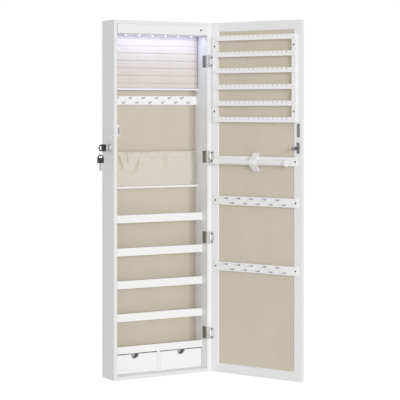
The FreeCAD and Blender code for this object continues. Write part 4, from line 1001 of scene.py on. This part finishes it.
def turned(name: str, profile: np.ndarray, middle: np.ndarray, axis: np.ndarray,
           sides: int) -> bpy.types.Object:
    """A turned piece: a profile of (radius, height) pairs carried round an axis.

    Args:
        name: the piece's name.
        profile: pairs from one pole to the other.
        middle: the foot of the axis.
        axis: the axis, a unit vector.
        sides: points round it.

    Returns:
        The piece.
    """
    side = np.cross(axis, TURNED_SIDE)
    side /= np.linalg.norm(side)
    up = np.cross(axis, side)
    turn = np.linspace(0, 2 * np.pi, sides, endpoint=False)
    circle = np.cos(turn)[:, None] * side + np.sin(turn)[:, None] * up
    points = middle + profile[:, 0, None, None] * circle[None] + profile[:, 1, None, None] * axis
    piece = mesh_object(name, points, quads(len(profile), sides, close_columns=True))
    weld(piece)
    return piece


def joined(name: str, pieces: Sequence[bpy.types.Object]) -> bpy.types.Object:
    """One piece from several new ones.

    Args:
        name: the joined piece's name.
        pieces: new pieces at the origin.

    Returns:
        The joined piece.
    """
    points, faces, first = [], [], 0
    for piece in pieces:
        co = np.zeros(len(piece.data.vertices) * 3)
        piece.data.vertices.foreach_get("co", co)
        points.append(co.reshape(-1, 3))
        faces += [[first + v for v in polygon.vertices] for polygon in piece.data.polygons]
        first += len(piece.data.vertices)
        bpy.data.objects.remove(piece)
    return mesh_object(name, np.concatenate(points), faces)


# ---------------------------------------------------------------- the cabinet
@dataclass
class Workshop:
    """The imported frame, with the calls that every sub-assembly needs."""

    frame: dict
    made: list[str] = field(default_factory=list)

    def dress(self, finish: Finish, *nodes: str) -> None:
        """Give carried-over solids a finish.

        Args:
            finish: the finish.
            nodes: names of the solids.
        """
        for name in nodes:
            solid = self.frame["nodes"][name]
            for place in solid.material_slots:
                place.material = finish.material()
            LOG.info("dressed %s in %s", name, finish.name)

    def fit(self, piece: bpy.types.Object, finish: Finish, body: str,
            slot: str) -> bpy.types.Object:
        """Finish a new piece and hang it on its body.

        Args:
            piece: the new piece.
            finish: its finish.
            body: the body that it moves with.
            slot: the record's material slot; not used.

        Returns:
            The piece.
        """
        piece.data.materials.clear()
        piece.data.materials.append(finish.material())
        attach(piece, body)
        self.made.append(piece.name)
        LOG.info("made %s, %d points, on %s", piece.name, len(piece.data.vertices), body)
        return piece

    def box(self, node: str) -> tuple[np.ndarray, np.ndarray]:
        """Lowest and highest corners of a solid."""
        low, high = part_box(node)
        return np.array(low), np.array(high)


@dataclass
class Carcass:
    """Panels, shelves and boards that never move."""

    shop: Workshop
    seam_wide: float = 1.5 * MM
    seam_proud: float = 0.08 * MM

    def build(self) -> None:
        """Dress the fixed boards."""
        self.shop.dress(WHITE, "side_panel_left", "top_panel", "bottom_panel")
        self.shop.dress(WHITE_LIT_HINGE_SIDE, "side_panel_right")
        self.shop.dress(WHITE_LIT_HEADER, "header_board")
        self.shop.dress(WHITE_LIT_SHELF, "ring_shelf", "pocket_ledge", "shelf_boards",
                        "shelf_front_rails", "drawer_divider")
        self.shop.dress(WHITE_LIT_RACK, "cabinet_hook_rail")
        self.shop.dress(BACK_BOARD, "back_panel", "hanging_rail")
        self.shop.dress(DOWEL, "dowels")
        self.shop.dress(LINING, "back_lining")
        self.shop.dress(FITTING_STEEL, "hanger_plates")
        self.shop.dress(HOOK_STEEL, "cabinet_hooks")
        self.seam()

    def seam(self) -> bpy.types.Object:
        """Dark hairline where the header meets the left side panel, a painted shadow line at the
        joint: a flat box along Z.

        Returns:
            The line.
        """
        low, high = self.shop.box("header_board")
        corner = np.array([low[0], low[1] - self.seam_proud, low[2]])
        size = np.array([self.seam_wide, 2 * self.seam_proud, high[2] - low[2]])
        share = np.array([[i, j, k] for k in (0, 1) for j in (0, 1) for i in (0, 1)], float)
        faces = [(0, 2, 3, 1), (4, 5, 7, 6), (0, 1, 5, 4), (2, 6, 7, 3), (0, 4, 6, 2), (1, 3, 7, 5)]
        line = mesh_object("header_seam_shadow", corner + share * size, faces, smooth=False)
        return self.shop.fit(line, SEAM_SHADOW, "cabinet", "white_paint")


@dataclass
class RingCushion:
    """Row of foam rolls under flocked cloth, with a tight slot for rings between each two."""

    shop: Workshop
    rolls: int = 8
    roll_pitch: float = 25.4 * MM
    first_slot: float = 991.0 * MM
    slot_depth: float = 4.0 * MM
    end_round: float = 5.0 * MM
    squareness: float = 4.6
    slack: float = 0.35 * MM
    long_wave: Span = (9.1, 2.3)
    short_wave: Triple = (0.6, 23.0, -1.7)
    samples: tuple[int, int] = (150, 29)

    def depth(self, across: np.ndarray, where: np.ndarray, proud: float) -> np.ndarray:
        """Thickness of the cushion over its back.

        Each roll is a superellipse: with t from -1 to 1 across it, the height is the slot depth
        times (1 - |t|^n)^(1/n). The crowns waver along X by a sum of sines, as wrapped foam does.

        Args:
            across: X of each point, from -1 to 1 of the half length.
            where: place along the stack in rolls, whole numbers at the slots.
            proud: crown height over the back.

        Returns:
            The thickness, in metres.
        """
        t = 2.0 * (where - np.floor(np.clip(where, 0, self.rolls - 1e-6))) - 1.0
        crown = (1.0 - np.abs(t) ** self.squareness) ** (1.0 / self.squareness)
        waver = np.sin(across * self.long_wave[0] + where * self.long_wave[1])
        share, over_x, over_rolls = self.short_wave
        waver = waver + share * np.sin(across * over_x + where * over_rolls)
        return proud - self.slot_depth * (1.0 - crown) + self.slack * waver * crown

    def build(self) -> None:
        """Make the cushion's closed skin, its ends rounded by a quarter ellipse, and dress it."""
        low, high = self.shop.box("ring_cushion")
        steps_x, steps_roll = self.samples
        half = (high[0] - low[0]) / 2
        x = np.sin(np.linspace(-np.pi / 2, np.pi / 2, steps_x))
        where = np.linspace(0, self.rolls, self.rolls * (steps_roll - 1) + 1)
        slots = self.first_slot + self.roll_pitch * np.arange(self.rolls - 1)
        slots = np.concatenate([[low[2]], slots, [high[2]]])
        z = np.interp(where, np.arange(self.rolls + 1), slots)
        across, along = np.meshgrid(x, where, indexing="ij")
        thick = self.depth(across, along, high[1] - low[1])
        rim = np.clip(half * (1 - np.abs(across)) / self.end_round, 0, 1)
        thick = thick * np.sqrt(1 - (1 - rim) ** 2)
        thick[:, [0, -1]] = 0.0
        front = np.stack([across * half, high[1] - thick, np.broadcast_to(z, across.shape)], -1)
        back = front.copy()
        back[..., 1] = high[1]
        shape = quads(*across.shape)
        points = np.concatenate([front.reshape(-1, 3), back.reshape(-1, 3)])
        faces = np.concatenate([shape, shape[:, ::-1] + across.size])
        cushion = mesh_object("ring_cushion_skin", points, faces)
        weld(cushion, 0.01 * MM)
        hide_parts("ring_cushion")
        self.shop.fit(cushion, CUSHION_CLOTH, "cabinet", "cushion")


@dataclass(frozen=True)
class Crease:
    """One fold of the pocket: a valley from its top to its foot, in millimetres."""

    top: tuple[float, float]
    foot: tuple[float, float]
    depth: float
    width: float
    widening: float = 0.6
    ridge_share: float = 0.38
    ridge_off: float = 1.7

    def press(self, x: np.ndarray, z: np.ndarray) -> np.ndarray:
        """How far the fold presses the cloth back.

        The valley is a Gaussian across the line from top to foot, fading at both ends by smooth
        steps, with a lower ridge on each side of it.

        Args:
            x: places across, in millimetres.
            z: heights, in millimetres.

        Returns:
            Depth towards the wall, in millimetres.
        """
        share = (self.top[1] - z) / (self.top[1] - self.foot[1])
        line = self.top[0] + (self.foot[0] - self.top[0]) * share
        off = (x - line) / (self.width * (1.0 + self.widening * np.clip(share, 0, 1)))
        fade = rounded(share, -0.15, 0.15) * (1.0 - rounded(share, 0.6, 1.15))
        ridges = np.exp(-(off - self.ridge_off) ** 2) + np.exp(-(off + self.ridge_off) ** 2)
        return self.depth * fade * (np.exp(-off ** 2) - self.ridge_share * ridges)


@dataclass
class ClothPocket:
    """Gathered velour pocket: elastic top, folds that run down, foot glued behind the ledge.

    Lengths without MM are millimetres.
    """

    shop: Workshop
    wall: float = 1.3 * MM
    fullness: float = 1.1
    half: float = 172.3
    end_reach: float = 7.0
    tuck_from: float = 146.0
    foot_front: float = -16.2
    top_front: float = -15.0
    bulge: float = 4.6
    bulge_rise: float = 1.08
    bulge_power: float = 0.8
    bulge_at_ends: float = 0.35
    end_power: float = 14
    glued: float = 0.22
    press_share: float = 0.9
    slack: float = 0.5
    hem: float = 23.0
    hem_groove: Span = (0.7, 1.4)
    top_roll: Triple = (-0.55, 2.0, 2.2)
    scallop: Span = (0.9, 0.7)
    scallop_power: int = 6
    top_drop: float = 1.6
    gather_pitch: float = 14.5
    gather_depth: float = 1.2
    gather_swell: float = 0.35
    gather_below: float = 0.25
    stitch: Span = (2.4, 1.5)
    stitch_inset: Span = (2.0, 4.0)
    top_stitches: float = 3.6
    thread: float = 0.22
    thread_lift: tuple[float, ...] = (0.05, 0.28, 0.28, 0.05)
    weave_wide: float = 3.0
    steps: tuple[int, int] = (421, 70)
    creases: tuple[Crease, ...] = (
        Crease((-134, 750), (-119, 694), 7.5, 2.4),
        Crease((-156, 758), (-150, 726), 2.0, 4.0),
        Crease((-100, 757), (-100, 708), 6.0, 2.0),
        Crease((-56, 736), (-79, 676), 6.6, 2.8),
        Crease((-48, 756), (-52, 732), 2.0, 3.0),
        Crease((-2.5, 753), (-2.5, 723), 3.2, 2.6),
        Crease((43, 748), (54, 676), 4.6, 4.2),
        Crease((96, 758), (102, 732), 1.4, 4.0),
        Crease((131, 751), (131, 727), 3.2, 3.2),
        Crease((158, 756), (160, 716), 1.6, 4.4),
    )

    def front(self, x: np.ndarray, z: np.ndarray, low: float, high: float) -> np.ndarray:
        """Front surface of the cloth, Y in millimetres.

        The foot is flat; half a sine wave bulges the middle; both ends lean back by a smooth step;
        the creases press it in and two long sines slacken it. The hem adds its gathers, a Gaussian
        groove along its lower stitches and a Gaussian roll along its top.

        Args:
            x: places across, in millimetres.
            z: heights, in millimetres.
            low: height of the foot.
            high: height of the top edge.

        Returns:
            Y in millimetres.
        """
        rise = (z - low) / (high - low)
        belly = np.sin(np.pi * np.clip(rise * self.bulge_rise, 0, 1)) ** self.bulge_power
        ends = 1.0 - np.clip(np.abs(x) / self.half, 0, 1) ** self.end_power
        y = self.foot_front + (self.top_front - self.foot_front) * rise
        y = y - self.bulge * belly * (self.bulge_at_ends + (1 - self.bulge_at_ends) * ends)
        y = y + self.end_reach * rounded(np.abs(x), self.tuck_from, self.half)
        press = self.press_share * sum(crease.press(x, z) for crease in self.creases)
        slack = self.slack * np.sin(x * 0.05 + z * 0.06) * np.sin(z * 0.045 + 1.0)
        groove, groove_wide = self.hem_groove
        roll, roll_wide, roll_drop = self.top_roll
        hem = groove * np.exp(-((z - (high - self.hem)) / groove_wide) ** 2)
        hem = hem + roll * np.exp(-((z - (high - roll_drop)) / roll_wide) ** 2)
        return y + rounded(rise, 0.0, self.glued) * (press + slack) + self.gathers(x, z, high) + hem

    def gathers(self, x: np.ndarray, z: np.ndarray, high: float) -> np.ndarray:
        """Gathers of the hem: a sine across X whose phase and size wander, stepping in at the hem.

        Args:
            x: places across, in millimetres.
            z: heights, in millimetres.
            high: height of the top edge.

        Returns:
            What they add to Y, in millimetres.
        """
        line = high - self.hem
        wander = 1.9 * np.sin(x * 0.031) + 1.1 * np.sin(x * 0.083 + 1.0)
        waves = np.sin(2 * np.pi * x / self.gather_pitch + wander)
        swell = 1.0 + self.gather_swell * (np.sin(x * 0.047 + 0.6) * np.sin(x * 0.113) - 1.0)
        in_hem = rounded(z, line - 6.0, line + 5.0)
        below = rounded(z, line - 18.0, line) * (1 - in_hem) * self.gather_below
        return self.gather_depth * swell * waves * (in_hem + below)

    def build(self) -> None:
        """Make the cloth, thicken it, and sew the hem's two thread lines.

        The top edge is scalloped by two sines across X, which grow with a power of the height.
        """
        low, high = self.shop.box("pocket")
        foot, top = low[2] / MM, high[2] / MM
        steps_x, steps_z = self.steps
        u, v = np.meshgrid(np.linspace(0, 1, steps_x), np.linspace(0, 1, steps_z), indexing="ij")
        x = (2 * u - 1) * self.half
        short, long = self.scallop
        scallop = short * np.sin(2 * np.pi * x / self.gather_pitch) + long * np.sin(x * 0.045)
        z = foot + (top - self.top_drop - foot) * v + scallop * v ** self.scallop_power
        points = np.stack([x, self.front(x, z, foot, top), z], -1) * MM
        uv = np.stack([u * self.weave_wide, v], -1)
        cloth = mesh_object("pocket_cloth", points, quads(*u.shape), uv)
        thicken = cloth.modifiers.new("thickness", "SOLIDIFY")
        thicken.thickness = self.wall
        thicken.offset = -1.0
        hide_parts("pocket")
        self.shop.fit(cloth, POCKET_CLOTH, "cabinet", "pocket_cloth")
        threads = self.stitches(foot, top)

    def stitches(self, foot: float, top: float) -> bpy.types.Object:
        """Two lines of stitches that hold the elastic in the hem.

        Each stitch is a short tube that lies on the cloth's own surface.

        Args:
            foot: height of the cloth's foot, in millimetres.
            top: height of its top edge, in millimetres.

        Returns:
            The stitches as one piece.
        """
        length, gap = self.stitch
        first, last = self.stitch_inset
        lift = np.array(self.thread_lift)
        pieces = []
        for height in (top - self.hem, top - self.top_stitches):
            for start in np.arange(first - self.half, self.half - last, length + gap):
                x = np.linspace(start, start + length, len(lift))
                z = np.full_like(x, height)
                path = np.stack([x, self.front(x, z, foot, top) - lift, z], -1)
                pieces.append(tube("stitch", path * MM, self.thread * MM, 6))
        threads = joined("pocket_stitches", pieces)
        return self.shop.fit(threads, THREAD, "cabinet", "pocket_cloth")


@dataclass
class LightUnit:
    """Battery light under the top panel, with its sensor."""

    shop: Workshop
    glow_power: float = 0.118
    glow_colour: Colour = (0.54, 0.58, 1.0)
    glow_size: tuple[float, float] = (0.322, 0.008)
    glow_tilt: float = 36.0
    glow_forward: float = 10.0 * MM
    glow_drop: float = 2.0 * MM
    bezel_out: float = 4.4 * MM
    bezel_gap: float = 0.05 * MM
    bezel_high: float = 0.5 * MM
    bezel_proud: float = 0.02 * MM

    def build(self) -> None:
        """Dress the unit, ring the sensor and set one soft glow under the row of lamps."""
        self.shop.dress(LIGHT_PLASTIC, "light_housing", "light_cover")
        self.shop.dress(LAMP, "light_lamps")
        self.shop.dress(BOARD_GREEN, "light_board")
        self.shop.dress(CELL, "batteries")
        self.shop.dress(SENSOR_LENS, "light_sensor")
        self.bezel()
        low, _ = self.shop.box("light_lamps")
        glow = bpy.data.lights.new("lamp_glow", "AREA")
        glow.shape = "RECTANGLE"
        glow.size, glow.size_y = self.glow_size
        glow.energy, glow.color = self.glow_power, self.glow_colour
        at = (0.0, low[1] - self.glow_forward, low[2] - self.glow_drop)
        placed("lamp_glow", glow, at, (self.glow_tilt, 0, 0)).visible_camera = False

    def bezel(self) -> bpy.types.Object:
        """Thin rounded ring: a half-ellipse profile carried round the sensor's axis.

        Returns:
            The bezel.
        """
        low, high = self.shop.box("light_sensor")
        middle = (low + high) / 2
        middle[1] = self.shop.box("header_board")[0][1]
        inner = (high[0] - low[0]) / 2 + self.bezel_gap
        swell = np.linspace(0, np.pi, 9)
        radius = (inner + self.bezel_out) / 2 + np.cos(swell) * (self.bezel_out - inner) / 2
        height = np.sin(swell) * self.bezel_high + self.bezel_proud
        profile = np.stack([np.append(radius, radius[0]), np.append(height, height[0])], -1)
        ring = turned("sensor_bezel", profile, middle, np.array([0.0, -1.0, 0.0]), 40)
        return self.shop.fit(ring, WHITE_PLASTIC, "cabinet", "white_plastic")


@dataclass
class Drawers:
    """Two small drawers."""

    shop: Workshop

    def build(self) -> None:
        """Dress fronts and boxes."""
        for side in ("left", "right"):
            self.shop.dress(WHITE_LIT_SHELF, f"drawer_{side}_front", f"drawer_{side}_box")


@dataclass
class Door:
    """Mirror door with its fittings. New pieces are laid out closed, then swung open."""

    shop: Workshop
    nail_head: float = 1.5 * MM
    nail_proud: float = 0.55 * MM
    nail_xs: tuple[float, float] = (-159.5 * MM, 156.6 * MM)
    hinge_nail_drop: float = 2.3 * MM
    bars: int = 6
    bar_drop: float = 55.4 * MM
    bar_tall: float = 17.0 * MM
    rack_high: float = 1153.0 * MM
    bar_face: float = -76.8 * MM

    def swing(self, points: np.ndarray) -> np.ndarray:
        """Turn points from the closed door to the door's rest angle.

        Args:
            points: places on the closed door.

        Returns:
            The same places with the door at rest.
        """
        hinge = next(j for j in self.shop.frame["joints"] if j["name"] == "door_hinge")
        angle = math.radians(-hinge["range_deg"][0])
        pivot = np.array(hinge["pos_m"])
        c, s = math.cos(angle), math.sin(angle)
        return (points - pivot) @ np.array([[c, s, 0], [-s, c, 0], [0, 0, 1]]) + pivot

    def build(self) -> None:
        """Dress the door's solids and add the nails at the bars' ends."""
        dress = self.shop.dress
        dress(WHITE_LIT_HINGE_STILE, "door_stile_hinge_side")
        dress(WHITE_LIT_DOOR, "door_stile_lock_side", "door_rail_top", "door_rail_bottom")
        dress(MIRROR, "mirror_glass")
        dress(HARDBOARD, "mirror_backing")
        dress(LINING_LIT_DOOR, "door_lining")
        dress(WHITE_LIT_RACK, "rack_uprights", "earring_bars", "bracelet_strip", "door_hook_rails")
        dress(WHITE_PLASTIC, "bracelet_bracket", "bracelet_bar")
        dress(HOOK_STEEL, "door_hooks")
        dress(FITTING_STEEL, "catch_strike", "lock_hook")
        self.nails()

    def nails(self) -> bpy.types.Object:
        """Domed nail heads that pin the earring bars to their uprights.

        Returns:
            All the heads as one piece.
        """
        arch = np.linspace(0, np.pi / 2, 6)
        dome = np.stack([self.nail_head * np.cos(arch), self.nail_proud * np.sin(arch)], -1)
        profile = np.concatenate([[[0.0, 0.0]], dome])
        heads = []
        outward = self.swing(np.array([0.0, 1.0, 0.0])) - self.swing(np.zeros(3))
        for x in self.nail_xs:
            drop = self.bar_tall / 2 + (self.hinge_nail_drop if x > 0 else 0.0)
            for row in range(self.bars):
                z = self.rack_high - drop - row * self.bar_drop
                at = self.swing(np.array([x, self.bar_face, z]))
                heads.append(turned("nail", profile, at, outward, 14))
        return self.shop.fit(joined("rack_nails", heads), HOOK_STEEL, "door", "hook_steel")


@dataclass
class Hardware:
    """Hinges, screws, catch, lock and keys."""

    shop: Workshop

    def build(self) -> None:
        """Dress the metal and plastic fittings."""
        dress = self.shop.dress
        dress(CABINET_LEAF, "hinge_leaves_cabinet")
        dress(HINGE_STEEL, "hinge_leaves_door")
        dress(PIN_STEEL, "hinge_pins")
        dress(SCREW_STEEL, "cabinet_screws", "door_screws", "lock_cam_screw")
        dress(WHITE_PLASTIC, "catch_housing")
        dress(MAGNET, "catch_magnet")
        dress(LOCK_PLATING_AND_REFLECTION, "lock_barrel")
        dress(CHROME_DARK_REFLECTION, "lock_nut", "lock_plug")
        dress(CHROME, "key_ring")
        dress(FITTING_STEEL, "lock_cam")
        dress(KEY_IN_LOCK, "key")
        dress(HANGING_KEY, "spare_key")


# ---------------------------------------------------------------- studio
@dataclass
class Studio:
    """Camera, lights, white surroundings and a pale floor."""

    camera_at: Triple = (-2.3527, -4.4550, 0.9041)
    camera_turn: Triple = (90.0, 0.0, -29.755)
    lens: float = 132.0
    sensor: float = 36.0
    shift: float = -0.228
    sight: float = 100.0
    floor_drop: float = 0.30
    floor_reach: float = 12.0
    ambient: float = 0.655
    front_light: float = 1.05
    front_turn: Triple = (82.0, 0.0, -9.0)
    front_spread: float = 18.0

    def build(self) -> None:
        """Set the camera, then light the room."""
        bpy.context.scene.view_settings.view_transform = "Standard"
        self.camera()
        self.surroundings()
        self.light()
        self.floor()

    def camera(self) -> None:
        """Camera at the photograph's place: level, with its lens shifted down."""
        data = bpy.data.cameras.new("camera")
        data.lens, data.sensor_width, data.shift_y = self.lens, self.sensor, self.shift
        data.clip_end = self.sight
        bpy.context.scene.camera = placed("camera", data, self.camera_at, self.camera_turn)

    def surroundings(self) -> None:
        """White to the camera and to gloss; a softer level lights the object."""
        world = bpy.data.worlds.new("white_room")
        world.use_nodes = True
        tree = world.node_tree
        back = tree.nodes["Background"]
        level = tree.nodes.new("ShaderNodeMapRange")
        level.inputs["To Min"].default_value = self.ambient
        level.inputs["To Max"].default_value = 1.0
        tree.links.new(sight_rays(tree), level.inputs["Value"])
        tree.links.new(level.outputs["Result"], back.inputs["Strength"])
        back.inputs["Color"].default_value = (1, 1, 1, 1)
        bpy.context.scene.world = world

    def light(self) -> None:
        """One light from the front, almost level."""
        data = bpy.data.lights.new("front_light", "SUN")
        data.energy = self.front_light
        data.angle = math.radians(self.front_spread)
        placed("front_light", data, turn=self.front_turn)

    def floor(self) -> None:
        """A wide plain floor under the cabinet."""
        ends = (-self.floor_reach, self.floor_reach)
        x, y = np.meshgrid(ends, ends, indexing="ij")
        points = np.stack([x, y, np.full_like(x, -self.floor_drop)], -1)
        ground = mesh_object("floor", points, quads(2, 2), smooth=False)
        ground.data.materials.append(FLOOR.material())
        ground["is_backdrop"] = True


def corners() -> list[list[float]]:
    """The whole object's box as plain numbers."""
    return [[float(c) for c in corner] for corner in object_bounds()]


def main() -> None:
    """Build the studio and each sub-assembly."""
    logging.basicConfig(level=logging.INFO, format="%(name)s: %(message)s")
    shop = Workshop(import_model())
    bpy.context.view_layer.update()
    Studio().build()
    makers: tuple[Callable[[Workshop], object], ...] = (
        Carcass, RingCushion, ClothPocket, LightUnit, Drawers, Door, Hardware)
    for maker in makers:
        maker(shop).build()
    LOG.info("new pieces: %s", ", ".join(shop.made))


if __name__ == "__main__":
    main()
